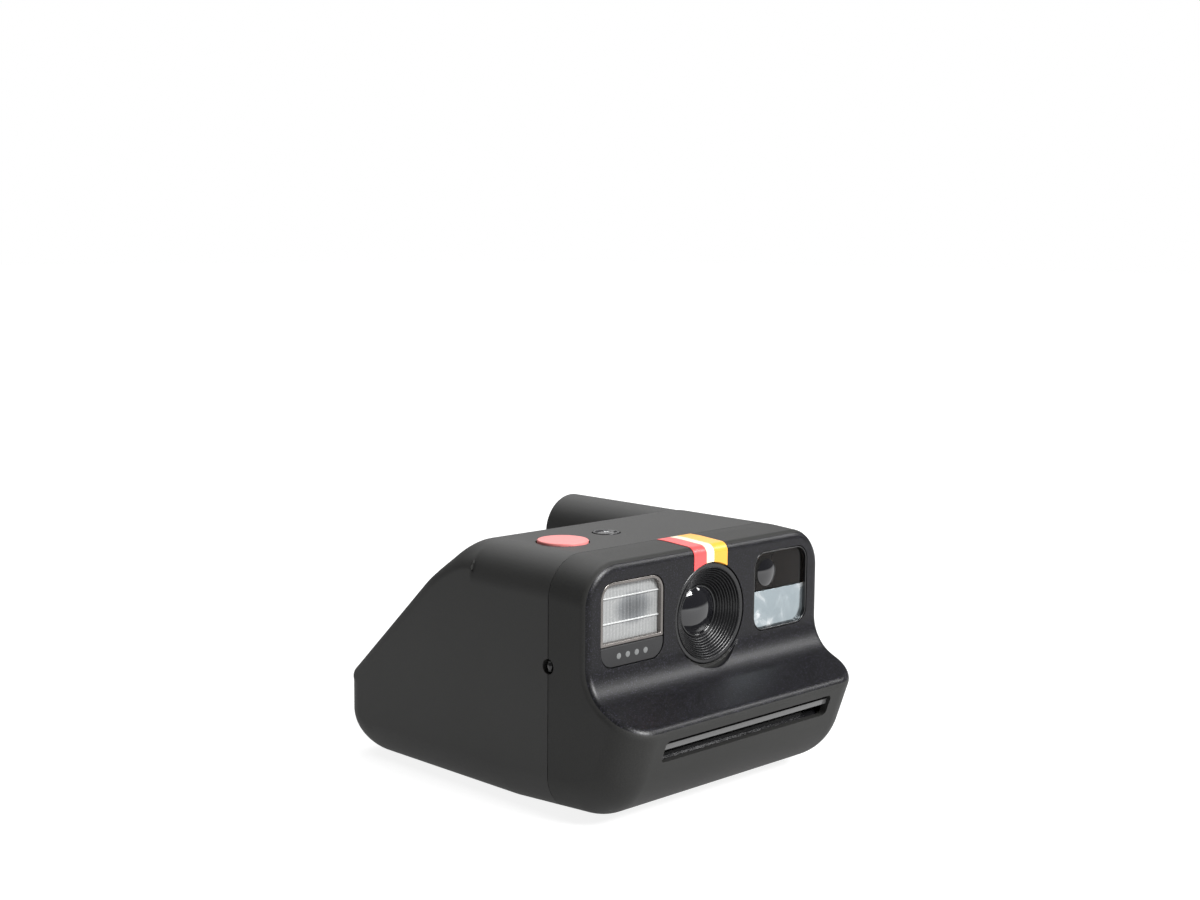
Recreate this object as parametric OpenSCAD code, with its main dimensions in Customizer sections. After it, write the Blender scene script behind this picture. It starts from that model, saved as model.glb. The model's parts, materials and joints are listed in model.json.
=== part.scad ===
// Compact box-type instant camera.
// +X is to the right seen from the front, the front faces -Y, +Z is up.
// The origin is under the middle of the camera, on the surface it stands on.

/* [Case] */
// Width of the case
body_w = 83.9; // [80:0.1:90]
// Depth from the lip at the front to the back
body_d = 105; // [100:0.5:110]
// Height of the flat top
body_h = 61.5; // [60:0.1:64]
// Wall thickness of both shells
wall = 2; // [1.6:0.1:2.4]
// Radius of the two long top edges
shoulder_r = 10; // [8:0.5:12]
// Radius of the two long bottom edges
keel_r = 9; // [6:0.5:10]
// Radius of the upright edges at the back, seen from above
rear_plan_r = 5.4; // [4:0.2:7]
// Radius of the lip's corners, seen from above
lip_plan_r = 8.7; // [6:0.1:9]
// Angle of the sloping back below level
slope_angle = 42.7; // [40:0.1:46]
// Radius of the edges along the sloping back
slope_edge_r = 4; // [3:0.5:6]
// Lean of the lip's front face
front_tilt = 19.7; // [16:0.1:22]
// Rise of the underside towards the lip
rise_angle = 3.4; // [2:0.1:5]
// Y of the joint line between front and rear shell
seam_y = -25; // [-27:0.5:-23]

/* [Front] */
// Y of the upright upper face
face_y = -37.3; // [-39:0.1:-36]
// Radius of the hollow curve between the upper face and the lip
swoop_r = 10; // [8:0.5:12]
// Fall of the lip's upper side
lip_angle = 25; // [20:1:30]
// Height of the photo slot's lower edge
slot_low = 16.1; // [15:0.1:17]
// Height of the photo slot's upper edge
slot_high = 21.5; // [20:0.1:22]
// Half length of the photo slot
slot_half = 30; // [28:0.5:31]
// Height of the lens axis
lens_z = 44.4; // [43:0.1:46]
// Outer radius of the ribbed baffle round the lens
baffle_r = 12.3; // [11.5:0.1:12.5]
// Radius of the front lens
lens_r = 6.2; // [5.5:0.1:6.5]
// Distance of the flash and viewfinder windows from the middle
window_x = 26.7; // [26:0.1:27]
// Width of both windows
window_w = 21; // [19:0.1:21.5]
// Height of both windows
window_h = 20.1; // [19:0.1:20.5]
// Corner radius of both windows
window_r = 4; // [3:0.2:5]
// Half width of the accent stripe
stripe_half = 6; // [5:0.1:7]

/* [Buttons] */
// Radius of the shutter button
shutter_button_r = 6.25; // [5.5:0.05:6.5]
// Radius of the flash button
flash_button_r = 3.35; // [3:0.05:3.6]
// Radius of the power button
power_button_r = 3.6; // [3:0.1:4]
// Travel of a button
button_travel = 0.6; // [0.4:0.1:0.6]

/* [Film transport] */
// Radius of the two spreader rollers
roller_r = 3.7; // [3.5:0.05:3.7]
// Gear module
gear_module = 0.65; // [0.64:0.01:0.66]
// Height of the film plane
film_z = 17.2; // [17:0.1:17.4]

/* [Hidden] */
$fn = 64;
arc_step = 16;
half_w = body_w / 2;
half_d = body_d / 2;
big = 200;
slip = 0.15;

// Case outline seen from the side
nose_z = 24;
nose_top_y = -50.7;
rim_low_z = 59.5;
rim_back_y = -35.8;
rim_back_z = 61;
crown_y = -28;
swoop_corner_z = 31.63;
nose_top_z = swoop_corner_z - (face_y - nose_top_y) * tan(lip_angle);
rise_y = -9;
front_foot_z = (rise_y + half_d - nose_z * tan(front_tilt)) * tan(rise_angle)
    / (1 - tan(front_tilt) * tan(rise_angle));
front_foot_y = rise_y - front_foot_z / tan(rise_angle);
slope_y = 31.57;
slope_z = 39.92;
slope_reach = slope_y * sin(slope_angle) + slope_z * cos(slope_angle);
slope_top_y = (slope_reach - body_h * cos(slope_angle)) / sin(slope_angle);
slope_foot_z = (slope_reach - half_d * sin(slope_angle)) / cos(slope_angle);
side_corners = [
    [half_d, 0, 11.4],
    [half_d, slope_foot_z, 5],
    [slope_top_y, body_h, 15],
    [crown_y, body_h, 0],
    [rim_back_y, rim_back_z, 0],
    [face_y, rim_low_z, 0],
    [face_y, swoop_corner_z, swoop_r],
    [nose_top_y, nose_top_z, 0],
    [-half_d, nose_z, 0],
    [front_foot_y, front_foot_z, 17.5],
    [rise_y, 0, 20]];
front_corners = [
    [half_w, 0, keel_r],
    [half_w, body_h, shoulder_r],
    [-half_w, body_h, shoulder_r],
    [-half_w, 0, keel_r]];
slope_corners = [
    [half_w, -big, 0],
    [half_w, 0, slope_edge_r],
    [-half_w, 0, slope_edge_r],
    [-half_w, -big, 0]];
plan_corners = [
    [half_w, -half_d, lip_plan_r],
    [half_w, half_d, rear_plan_r],
    [-half_w, half_d, rear_plan_r],
    [-half_w, -half_d, lip_plan_r]];

// Viewfinder barrel that stands out of the sloping back
barrel_x = half_w - shoulder_r;
barrel_z = body_h - shoulder_r;
barrel_r = 9.8;
barrel_end_y = 44.4;

// Guide bar in the photo slot
bar_low = 19;
bar_high = 20.4;

// Windows in the face
window_z = 46.5;
finder_z = 47;
pane_gap = 0.15;
bezel_top = 41.5;
sensor_z = 39;
sensor_x = [for (k = [-1.5:1:1.5]) -window_x + 2.95 * k];
flash_x0 = -window_x - window_w / 2 + slip;
flash_x1 = -window_x + window_w / 2 - slip;
flash_z0 = window_z - window_h / 2 + slip;
flash_z1 = window_z + window_h / 2 - slip;
glow_z = 49;
glow_y = -33.3;
finder_x0 = window_x - window_w / 2 + slip;
finder_x1 = window_x + window_w / 2 - slip;
finder_z0 = finder_z - window_h / 2 + slip;
finder_z1 = finder_z + window_h / 2 - slip;

// Film door and its hinge
door_half = 31;
door_front = -34;
hinge_y = 43;
hinge_z = 1.6;
hinge_pin_r = 0.6;
pin_half = door_half + 0.4;
door_t = 2;
knuckle_gap = 0.4;
knuckle_edges = [-28, -16, -6, 6, 16, 28];

// Buttons
button_top = body_h - wall;
shutter_pos = [-24.8, -11.7];
flash_pos = [-7.6, -9.3];
power_x = -27;
counter_x = -11;
board_z = 55.5;
board_t = 0.8;
switch_h = 0.9;
flange_low = -wall - 0.9;
stem_end = flange_low - button_travel;

// Strap lugs on the seam
lug_z = 36.1;
lug_r = 1.8;

// Screws that join the shells
screw_x = 38;
screw_z = [12, 27];
boss_r = 2.5;
screw_r = 0.8;

// Door latch and charging port in the +X wall
latch_y = -5;
latch_z = 13;
port_y = 20;
port_z = 27;

// Lens and mirror
barrel_outer = 10.8;
barrel_inner = 9.6;
blade_y = -24.4;
blade_pivot = 6.5;
mirror_sum = 54.4;
mirror_t = 2;
box_wall = 1.2;
box_front = -13.4;
box_top = 55.2;
box_low = 19;
film_mid_y = 10;
image_half = 23;

// Roller gears and drive train, all turning about X
roller_teeth = 12;
drive_teeth = 24;
pinion_teeth = 8;
roller_y = -39;
upper_axis = [roller_y, film_z + roller_teeth * gear_module / 2];
lower_axis = [roller_y, film_z - roller_teeth * gear_module / 2];
drive_dir = 15;
pinion_dir = 60;
drive_axis = upper_axis
    + gear_module * (roller_teeth + drive_teeth) / 2 * [cos(drive_dir), sin(drive_dir)];
pinion_axis = drive_axis
    + gear_module * (drive_teeth + pinion_teeth) / 2 * [cos(pinion_dir), sin(pinion_dir)];
upper_phase = 0;
lower_phase = mesh_phase(-90, roller_teeth, upper_phase, roller_teeth);
drive_phase = mesh_phase(drive_dir, roller_teeth, upper_phase, drive_teeth);
pinion_phase = mesh_phase(pinion_dir, drive_teeth, drive_phase, pinion_teeth);
plate_x = 31;
plate_t = 1.5;
gear_x = 32.8;
gear_w = 2.5;
journal_r = 1.5;
axle_r = 1.2;
running = 0.05;

// ---- outlines ----

function unit(v) = v / norm(v);
function left(d) = [-d.y, d.x];
function swing(v, a) = [v.x * cos(a) - v.y * sin(a), v.x * sin(a) + v.y * cos(a)];
function bend(a, b) = atan2(a.x * b.y - a.y * b.x, a.x * b.x + a.y * b.y);

// One corner of an outline, moved inwards by inset and rounded to radius r
function corner(p0, p1, p2, r, inset) =
    let (d1 = unit(p1 - p0),
        d2 = unit(p2 - p1),
        turn = bend(d1, d2),
        side = sign(turn),
        q = p1 + inset * (left(d1) + left(d2)) / (1 + d1 * d2),
        rr = r == 0 ? 0 : max(0, r - side * inset),
        centre = q - d1 * rr * tan(abs(turn) / 2) + side * rr * left(d1),
        n = max(1, ceil(abs(turn) / arc_step)))
    rr < 0.05 ? [q]
        : [for (k = [0:n]) centre - side * rr * swing(left(d1), turn * k / n)];

// Closed outline through corners given as [across, up, radius], anticlockwise
function outline(c, inset = 0) =
    let (n = len(c), p = [for (v = c) [v[0], v[1]]])
    [for (i = [0:n - 1]) each corner(p[(i + n - 1) % n], p[i], p[(i + 1) % n], c[i][2], inset)];

function port_outline(grow) =
    outline(box_corners(port_y - 4.5, port_y + 4.5, port_z - 1.6, port_z + 1.6, 1.5), -grow);

// Front face of the lip at height z
function lip_y(z) = -half_d + (nose_z - z) * tan(front_tilt);

function box_corners(x0, x1, y0, y1, r) =
    [[x1, y0, r], [x1, y1, r], [x0, y1, r], [x0, y0, r]];

// Turn of gear b that puts its teeth into the gaps of gear a, in direction dir from a
function mesh_phase(dir, na, phase_a, nb) =
    dir + 180 - (0.5 - (dir - phase_a) * na / 360) * 360 / nb;

// ---- building blocks ----

module along_x(x0, x1) {
    translate([x0, 0, 0]) rotate([90, 0, 90]) linear_extrude(x1 - x0) children();
}

module along_y(y0, y1) {
    translate([0, y1, 0]) rotate([90, 0, 0]) linear_extrude(y1 - y0) children();
}

module along_z(z0, z1) {
    translate([0, 0, z0]) linear_extrude(z1 - z0) children();
}

module block(x0, x1, y0, y1, z0, z1) {
    translate([x0, y0, z0]) cube([x1 - x0, y1 - y0, z1 - z0]);
}

module rod_x(y, z, x0, x1, r) {
    translate([x0, y, z]) rotate([0, 90, 0]) cylinder(h = x1 - x0, r = r);
}

module rod_y(x, z, y0, y1, r) {
    translate([x, y1, z]) rotate([90, 0, 0]) cylinder(h = y1 - y0, r = r);
}

module rod_z(x, y, z0, z1, r) {
    translate([x, y, z0]) cylinder(h = z1 - z0, r = r);
}

// Rounded plate that faces the front
module pane(x0, x1, z0, z1, y0, y1, r) {
    along_y(y0, y1) polygon(outline(box_corners(x0, x1, z0, z1, r)));
}

// Places children on the sloping back: local z is outward, local y is down the slope
module on_slope(x) {
    translate([x, slope_y, slope_z]) rotate([-slope_angle, 0, 0]) children();
}

// Solid shape of the case, smaller all round by inset
module case_shape(inset) {
    intersection() {
        along_x(-half_w, half_w) polygon(outline(side_corners, inset));
        along_y(-half_d, half_d) polygon(outline(front_corners, inset));
        along_z(0, body_h) polygon(outline(plan_corners, inset));
        on_slope(0) along_y(-big, big) polygon(outline(slope_corners, inset));
    }
    rod_y(barrel_x, barrel_z, -30, barrel_end_y - inset, barrel_r - inset);
}

module case_wall() {
    difference() {
        case_shape(0);
        case_shape(wall);
    }
}

module stripe_shape() {
    difference() {
        intersection() {
            along_x(-stripe_half, stripe_half) difference() {
                polygon(outline(side_corners, -0.15));
                polygon(outline(side_corners, 0.25));
            }
            block(-big, big, -big, seam_y, 50, big);
        }
        rod_y(0, lens_z, -big, 0, baffle_r + 0.2);
    }
}

// ---- case ----

module bosses(y0, y1) {
    for (side = [-1, 1], z = screw_z) rod_y(side * screw_x, z, y0, y1, boss_r);
}

module screw_holes(r) {
    for (side = [-1, 1], z = screw_z) rod_y(side * screw_x, z, seam_y - 8.2, 0, r);
}

module door_cut() {
    block(-door_half - 0.3, door_half + 0.3, door_front - 0.3, hinge_y + 1.8, -1, wall + 2);
}

module lug_holes() {
    for (side = [-1, 1]) rod_x(seam_y, lug_z, side * half_w - 4, side * half_w + 4, lug_r);
}

module front_shell() color("#3c3c3a") {
    difference() {
        union() {
            intersection() {
                case_wall();
                block(-big, big, -big, seam_y, -1, big);
            }
            intersection() {
                case_shape(wall / 2);
                union() {
                    bosses(seam_y - 8, seam_y);
                    rod_y(0, lens_z, face_y - 6, face_y + wall, baffle_r + 2.2);
                }
            }
        }
        screw_holes(screw_r);
        rod_y(0, lens_z, -big, face_y + wall + 2, baffle_r + 0.15);
        rod_y(0, lens_z, -big, face_y, baffle_r + 0.7);
        pane(-window_x - window_w / 2, -window_x + window_w / 2, window_z - window_h / 2,
            window_z + window_h / 2, -big, face_y + wall + 2, window_r);
        pane(window_x - window_w / 2, window_x + window_w / 2, finder_z - window_h / 2,
            finder_z + window_h / 2, -big, face_y + wall + 2, window_r);
        pane(-slot_half, slot_half, slot_low, slot_high, -big, -44, 1.2);
        stripe_shape();
        door_cut();
        lug_holes();
    }
}

module shell_knuckles() {
    ends = [-door_half, each knuckle_edges, door_half];
    for (i = [0:2:6]) {
        x0 = ends[i] + (i == 0 ? -0.6 : knuckle_gap);
        x1 = ends[i + 1] + (i == 6 ? 0.6 : -knuckle_gap);
        rod_x(hinge_y, hinge_z, x0, x1, hinge_z);
        block(x0, x1, hinge_y, hinge_y + 3.4, 0.9, 2 * hinge_z);
    }
}

module rear_shell() color("#3c3c3a") {
    difference() {
        union() {
            difference() {
                intersection() {
                    case_wall();
                    block(-big, big, seam_y, big, -1, big);
                }
                door_cut();
            }
            intersection() {
                case_shape(wall / 2);
                bosses(seam_y, seam_y + 8);
            }
            shell_knuckles();
        }
        screw_holes(screw_r + 0.1);
        rod_x(hinge_y, hinge_z, -pin_half, pin_half, hinge_pin_r);
        rod_z(shutter_pos.x, shutter_pos.y, button_top - 1, big, shutter_button_r + 0.3);
        rod_z(flash_pos.x, flash_pos.y, button_top - 1, big, flash_button_r + 0.3);
        on_slope(power_x) cylinder(h = 8, r = power_button_r + 0.3, center = true);
        on_slope(counter_x) along_z(-4, 4) polygon(outline(box_corners(-6, 6, -3.5, 3.5, 2)));
        rod_y(barrel_x, barrel_z, barrel_end_y - 4, big, 6);
        along_x(half_w - 4, big) polygon(port_outline(0.3));
        block(half_w - 4, big, latch_y - 4, latch_y + 8.4, latch_z - 2.2, latch_z + 2.2);
        lug_holes();
    }
}

module accent_stripe() color("#e8654f") stripe_shape();

// Cup behind each lug hole with a staple in it that a strap loops round
module strap_lugs() color("#222222") {
    inner = half_w - wall;
    bar_x = half_w - 0.9;
    end = lug_r - 0.6;
    for (side = [0, 1]) mirror([side, 0, 0]) {
        difference() {
            rod_x(seam_y, lug_z, inner - 1.8, inner, lug_r + 0.9);
            rod_x(seam_y, lug_z, inner - 0.8, big, lug_r);
        }
        rod_z(bar_x, seam_y, lug_z - end, lug_z + end, 0.6);
        for (z = [lug_z - end, lug_z + end - 0.5])
            block(inner - 0.9, bar_x, seam_y - 0.5, seam_y + 0.5, z, z + 0.5);
    }
}

module case_screws() color("silver") {
    for (side = [-1, 1], z = screw_z) {
        rod_y(side * screw_x, z, seam_y - 7, seam_y + 8, screw_r);
        difference() {
            rod_y(side * screw_x, z, seam_y + 8, seam_y + 9.4, 1.6);
            rod_y(side * screw_x, z, seam_y + 8.6, seam_y + 10, 0.6);
        }
    }
}

// ---- film door ----

module film_door() color("#393937") {
    difference() {
        union() {
            intersection() {
                block(-door_half, door_half, door_front, hinge_y - hinge_z - 0.4, 0, 2 * door_t);
                along_x(-half_w, half_w) difference() {
                    polygon(outline(side_corners));
                    polygon(outline(side_corners, door_t));
                }
            }
            for (i = [0:2:4]) {
                rod_x(hinge_y, hinge_z, knuckle_edges[i], knuckle_edges[i + 1], hinge_z);
                block(knuckle_edges[i], knuckle_edges[i + 1], hinge_y - hinge_z - 0.5, hinge_y,
                    0, hinge_z);
            }
            for (side = [-1, 1]) {
                block(side * 30 - 0.4, side * 30 + 0.4, door_front + 2, hinge_y - 5, 1.6, 4);
            }
            block(-29.6, 29.6, door_front + 2, door_front + 2.8, 2, 4);
        }
        rod_x(hinge_y, hinge_z, -big, big, hinge_pin_r + running);
    }
}

// Two bowed leaf springs that lift the film pack
module pressure_springs() color("silver") {
    for (side = [-1, 1]) {
        along_x(side * 15 - 3, side * 15 + 3)
            polygon([[-5, 2], [0, 2], [10, 3.9], [20, 2], [25, 2], [25, 2.3], [20.1, 2.3],
                [10, 4.2], [-0.1, 2.3], [-5, 2.3]]);
    }
}

module door_hinge_pin() color("silver") {
    rod_x(hinge_y, hinge_z, -pin_half, pin_half, hinge_pin_r);
}

module door_latch() color("#4a4a48") {
    inner = half_w - wall;
    low = latch_z - 3;
    along_x(inner - 0.5, half_w - 0.4)
        polygon(outline(box_corners(latch_y - 3.8, latch_y + 3.8, latch_z - 2, latch_z + 2, 0.8)));
    for (dy = [-2.4:1.6:2.4])
        block(inner + 1, half_w - 0.05, latch_y + dy - 0.3, latch_y + dy + 0.3,
            latch_z - 1.4, latch_z + 1.4);
    block(inner - 1.7, inner - 0.3, latch_y - 6, latch_y + 6.6, low, latch_z + 3);
    block(door_half + 1, inner - 1.5, latch_y - 2, latch_y + 2, low, low + 1.2);
    block(door_half + 1, door_half + 2.2, latch_y - 2, latch_y + 2, 4, low + 0.6);
}

// ---- buttons ----

// Round push button with its retaining flange and stem, top face at z = 0 of the wall
module push_button(r, proud) {
    dome = 0.45;
    ball = (r * r + dome * dome) / (2 * dome);
    translate([0, 0, flange_low]) cylinder(h = 0.7, r = r + 1);
    translate([0, 0, -wall - 0.5]) cylinder(h = wall + 0.5 + proud - dome, r = r);
    intersection() {
        translate([0, 0, proud - ball]) sphere(r = ball);
        translate([0, 0, proud - dome - 0.01]) cylinder(h = 2, r = r);
    }
    translate([0, 0, stem_end]) cylinder(h = -wall - 0.5 - stem_end, r = 1.2);
}

module shutter_button() color("#ee6a5c") {
    translate([shutter_pos.x, shutter_pos.y, body_h]) push_button(shutter_button_r, 0.75);
}

module flash_button() color("#2c2c2b") {
    translate([flash_pos.x, flash_pos.y, body_h]) push_button(flash_button_r, 0.3);
}

module power_button() color("#2c2c2b") {
    on_slope(power_x) push_button(power_button_r, 0.3);
}

module button_board() color("seagreen") {
    block(-33, -1.5, -18.5, -4, board_z, board_z + board_t);
}

module button_switches() color("silver") {
    top = board_z + board_t;
    for (p = [shutter_pos, flash_pos]) {
        block(p.x - 2, p.x + 2, p.y - 1.6, p.y + 1.6, top, top + switch_h - 0.3);
        rod_z(p.x, p.y, top, top + switch_h, 0.8);
    }
}

module rear_board() color("seagreen") {
    on_slope(0) block(-31.5, -3, -7, 9, -6.4, -5.6);
}

module power_switch() color("silver") {
    on_slope(power_x) {
        block(-2, 2, -1.6, 1.6, -5.6, -4.9);
        translate([0, 0, -5.6]) cylinder(h = 1.2, r = 0.8);
    }
}

module counter_display() color("#1c2422") {
    on_slope(counter_x) block(-5.4, 5.4, -3, 3, -5.6, -1.6);
}

module counter_window() color("#161616") {
    on_slope(counter_x) along_z(-1.3, 0) polygon(outline(box_corners(-5.9, 5.9, -3.4, 3.4, 1.9)));
}

// ---- lens ----

// Baffle of round steps that close in on the front lens
module lens_baffle() color("#1e1e1e") {
    steps = 8;
    deep = 3.9;
    dr = (baffle_r - lens_r - 0.3) / steps;
    dy = deep / steps;
    inner_face = [for (i = [0:steps - 1]) each
        [[baffle_r - 0.3 - i * dr, i * dy], [baffle_r - 0.3 - i * dr, (i + 1) * dy]]];
    translate([0, face_y + 0.1, lens_z]) rotate([-90, 0, 0]) rotate_extrude()
        polygon([[baffle_r, 0], each inner_face, [lens_r, deep], [lens_r, deep + 0.4],
            [baffle_r, deep + 0.4]]);
}

module front_lens() color([0.1, 0.1, 0.14, 0.8]) {
    ball = 14;
    intersection() {
        translate([0, face_y + 3.4 + ball, lens_z]) sphere(r = ball);
        rod_y(0, lens_z, face_y + 3, face_y + 6.2, lens_r - 0.05);
    }
}

module lens_barrel() color("#262626") {
    difference() {
        union() {
            rod_y(0, lens_z, face_y + 4.6, face_y + 6, baffle_r + 1);
            rod_y(0, lens_z, face_y + 4.6, box_front - 1.5, barrel_outer);
        }
        rod_y(0, lens_z, face_y + 4, face_y + 6.3, lens_r + 0.02);
        rod_y(0, lens_z, face_y + 7.4, box_front, barrel_inner);
    }
}

module shutter_plate() color("silver") {
    difference() {
        union() {
            rod_y(0, lens_z, blade_y - 1.6, blade_y - 0.4, barrel_inner);
            rod_y(-blade_pivot, lens_z, blade_y - 1, blade_y + 1.2, 0.7);
        }
        rod_y(0, lens_z, blade_y - 2, blade_y, 2.6);
    }
}

module shutter_blade() color("#303236") {
    difference() {
        union() {
            rod_y(0, lens_z, blade_y, blade_y + 0.4, 3.2);
            rod_y(-blade_pivot, lens_z, blade_y, blade_y + 0.8, 1.3);
            block(-blade_pivot, -1, blade_y, blade_y + 0.4, lens_z - 1.2, lens_z + 1.2);
        }
        rod_y(-blade_pivot, lens_z, blade_y - 1, blade_y + 2, 0.7 + running);
    }
}

module rear_lens() color([0.75, 0.82, 0.88, 0.5]) {
    difference() {
        rod_y(0, lens_z, -20, -17.4, barrel_inner);
        translate([0, -20 - 16.2, lens_z]) sphere(r = 17);
    }
}

// ---- flash ----

module flash_panel(z0, z1, y1) {
    intersection() {
        pane(flash_x0, flash_x1, flash_z0, flash_z1, face_y + 0.1, y1, window_r - slip);
        block(-big, 0, -big, 0, z0, z1);
    }
}

module flash_lens() color([0.85, 0.88, 0.9, 0.5]) {
    flash_panel(bezel_top + pane_gap / 2, big, face_y + 1.7);
}

module flash_bezel() color("#4b4c4d") {
    difference() {
        flash_panel(0, bezel_top - pane_gap / 2, face_y + 2.2);
        for (x = sensor_x) rod_y(x, sensor_z, -big, 0, 0.95);
    }
}

module flash_reflector() color("gainsboro") {
    difference() {
        rod_x(glow_y, glow_z, flash_x0 + 0.3, flash_x1 - 0.3, 6.9);
        rod_x(glow_y, glow_z, flash_x0 + 0.9, flash_x1 - 0.9, 6.3);
        block(-big, big, -big, glow_y, -big, big);
        rod_x(glow_y + 2, glow_z, -big, big, 1.5);
    }
}

module flash_tube() color([0.9, 0.9, 0.95, 0.6]) {
    rod_x(glow_y + 2, glow_z, flash_x0 + 0.1, flash_x1 - 0.1, 1.4);
}

module light_sensor() color("#2f4a3a") {
    block(flash_x0 + 1, flash_x1 - 1, face_y + 3, face_y + 3.8, flash_z0 + 0.5, bezel_top - 0.4);
    for (x = sensor_x)
        block(x - 0.6, x + 0.6, face_y + 2.3, face_y + 3, sensor_z - 0.6, sensor_z + 0.6);
}

module flash_capacitor() color("#23272b") {
    rod_y(-29, 42.5, -22, 11, 5.5);
    for (dx = [-1.5, 1.5]) rod_y(-29 + dx, 42.5, 11, 14, 0.4);
}

// ---- viewfinder ----

module finder_panel(z0, z1, y0, y1) {
    intersection() {
        pane(finder_x0, finder_x1, finder_z0, finder_z1, y0, y1, window_r - slip);
        block(0, big, -big, 0, z0, z1);
    }
}

module viewfinder_window() color([0.1, 0.1, 0.12, 0.6]) {
    finder_panel(finder_z + pane_gap / 2, big, face_y + 0.1, face_y + 1.5);
}

module viewfinder_mirror() color("#96aab2") {
    finder_panel(0, finder_z - pane_gap / 2, face_y + 0.1, face_y + 1.5);
}

module viewfinder_tunnel() color("#2a2a2a") {
    difference() {
        rod_y(barrel_x, barrel_z, face_y + wall + 0.1, 40, 7.2);
        rod_y(barrel_x, barrel_z, face_y + 1, 41, 6.4);
    }
}

module eyepiece_lens() color([0.7, 0.78, 0.85, 0.5]) {
    intersection() {
        rod_y(barrel_x, barrel_z, 41.6, 44.2, 5.9);
        translate([barrel_x, 44.2 - 22, barrel_z]) sphere(r = 22, $fn = 240);
    }
}

module eyepiece_ring() color("#1f1f1f") {
    difference() {
        rod_y(barrel_x, barrel_z, barrel_end_y, barrel_end_y + 1, 8.2);
        rod_y(barrel_x, barrel_z, barrel_end_y - 1, barrel_end_y + 2, 5.8);
    }
}

// ---- mirror box and film gate ----

// Flared box seen from the front, over the film gate
function box_front_outline(inset) = [
    [25.5 - inset, box_low], [25.5 - inset, 21], [18.5 - inset, 37], [18.5 - inset, box_top - inset],
    [inset - 18.5, box_top - inset], [inset - 18.5, 37], [inset - 25.5, 21],
    [inset - 25.5, box_low]];

// Box seen from the side, with its back along the mirror
function box_side_outline(inset) =
    let (back = mirror_sum + (mirror_t + box_wall - inset) * sqrt(2))
    [[35 - inset, box_low], [35 - inset, back - 35 + inset], [back - box_top + inset, box_top - inset],
        [box_front + inset, box_top - inset], [box_front + inset, box_low]];

module mirror_box() color("#1b1b1b") {
    difference() {
        intersection() {
            along_y(-50, 50) polygon(box_front_outline(0));
            along_x(-50, 50) polygon(box_side_outline(0));
        }
        intersection() {
            along_y(-50, 50) polygon(box_front_outline(box_wall));
            along_x(-50, 50) polygon(box_side_outline(box_wall));
        }
        rod_y(0, lens_z, box_front - 1, box_front + 2, barrel_inner);
    }
}

module reflex_mirror() color("#c9d2d6") {
    translate([0, 17.6, mirror_sum - 17.6]) rotate([-45, 0, 0])
        block(-16.8, 16.8, -20, 20, 0.02, mirror_t - 0.02);
}

module film_gate() color("#222222") {
    difference() {
        block(-29.5, 29.5, -30, 40, film_z + 0.4, box_low);
        block(-image_half, image_half, film_mid_y - image_half, film_mid_y + image_half, 0, big);
    }
}

// ---- film transport ----

// Spur gear seen from the side, tooth 0 in direction phase
module gear_shape(teeth, phase) {
    pitch_r = teeth * gear_module / 2;
    root = pitch_r - gear_module * 1.1;
    tip = pitch_r + gear_module * 0.85;
    pitch = 360 / teeth;
    polygon([for (i = [0:teeth - 1], s = [[-0.31, root], [-0.12, tip], [0.12, tip], [0.31, root]])
        let (a = phase + (i + s[0]) * pitch) s[1] * [cos(a), sin(a)]]);
}

module gear(axis, teeth, phase, bore) {
    difference() {
        translate([0, axis.x, axis.y]) along_x(gear_x, gear_x + gear_w) gear_shape(teeth, phase);
        rod_x(axis.x, axis.y, 0, big, bore);
    }
}

module roller(axis) {
    rod_x(axis.x, axis.y, -29.5, 29.5, roller_r);
    rod_x(axis.x, axis.y, -plate_x - plate_t, gear_x + gear_w, journal_r);
}

module upper_roller() color("silver") roller(upper_axis);

module lower_roller() color("silver") roller(lower_axis);

module upper_roller_gear() color("ivory") gear(upper_axis, roller_teeth, upper_phase, journal_r);

module lower_roller_gear() color("ivory") gear(lower_axis, roller_teeth, lower_phase, journal_r);

module drive_gear() color("ivory") gear(drive_axis, drive_teeth, drive_phase, axle_r + running);

module motor_pinion() color("goldenrod") {
    gear(pinion_axis, pinion_teeth, pinion_phase, 0.7);
    rod_x(pinion_axis.x, pinion_axis.y, plate_x - 3, gear_x + gear_w, 0.75);
}

module drive_motor() color("lightsteelblue") {
    difference() {
        rod_x(pinion_axis.x, pinion_axis.y, 14.5, plate_x, 6);
        rod_x(pinion_axis.x, pinion_axis.y, plate_x - 3.2, big, 0.75 + running);
    }
}

module roller_frame() color("#8c9094") {
    difference() {
        union() {
            along_x(plate_x, plate_x + plate_t)
                polygon([[-44.5, 12], [-42.4, 8.8], [-26, 8.5], [-13.8, 24], [-13.8, 38.5], [-34.5, 38.5],
                    [-34.5, 33], [-40, 27], [-44.5, 24.5]]);
            along_x(-plate_x - plate_t, -plate_x)
                polygon([[-44.5, 12], [-42.4, 8.8], [-31, 8.5], [-31, 31], [-36, 31], [-40, 27],
                    [-44.5, 24.5]]);
            block(-plate_x, plate_x, -34, -31, 26.5, 29.5);
            rod_x(drive_axis.x, drive_axis.y, plate_x, gear_x + gear_w + 0.4, axle_r);
        }
        for (a = [upper_axis, lower_axis]) rod_x(a.x, a.y, -big, big, journal_r + running);
        rod_x(pinion_axis.x, pinion_axis.y, 0, big, 1.3);
    }
}

// Guide bar that divides the photo slot, set back from the lip's front face
module exit_guide_bar() color("#6f7376") {
    setback = 1;
    deep = 1.2;
    along_x(-slot_half, slot_half) polygon([
        [lip_y(bar_low) + setback, bar_low], [lip_y(bar_low) + setback + deep, bar_low],
        [lip_y(bar_high) + setback + deep, bar_high], [lip_y(bar_high) + setback, bar_high]]);
}

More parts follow.
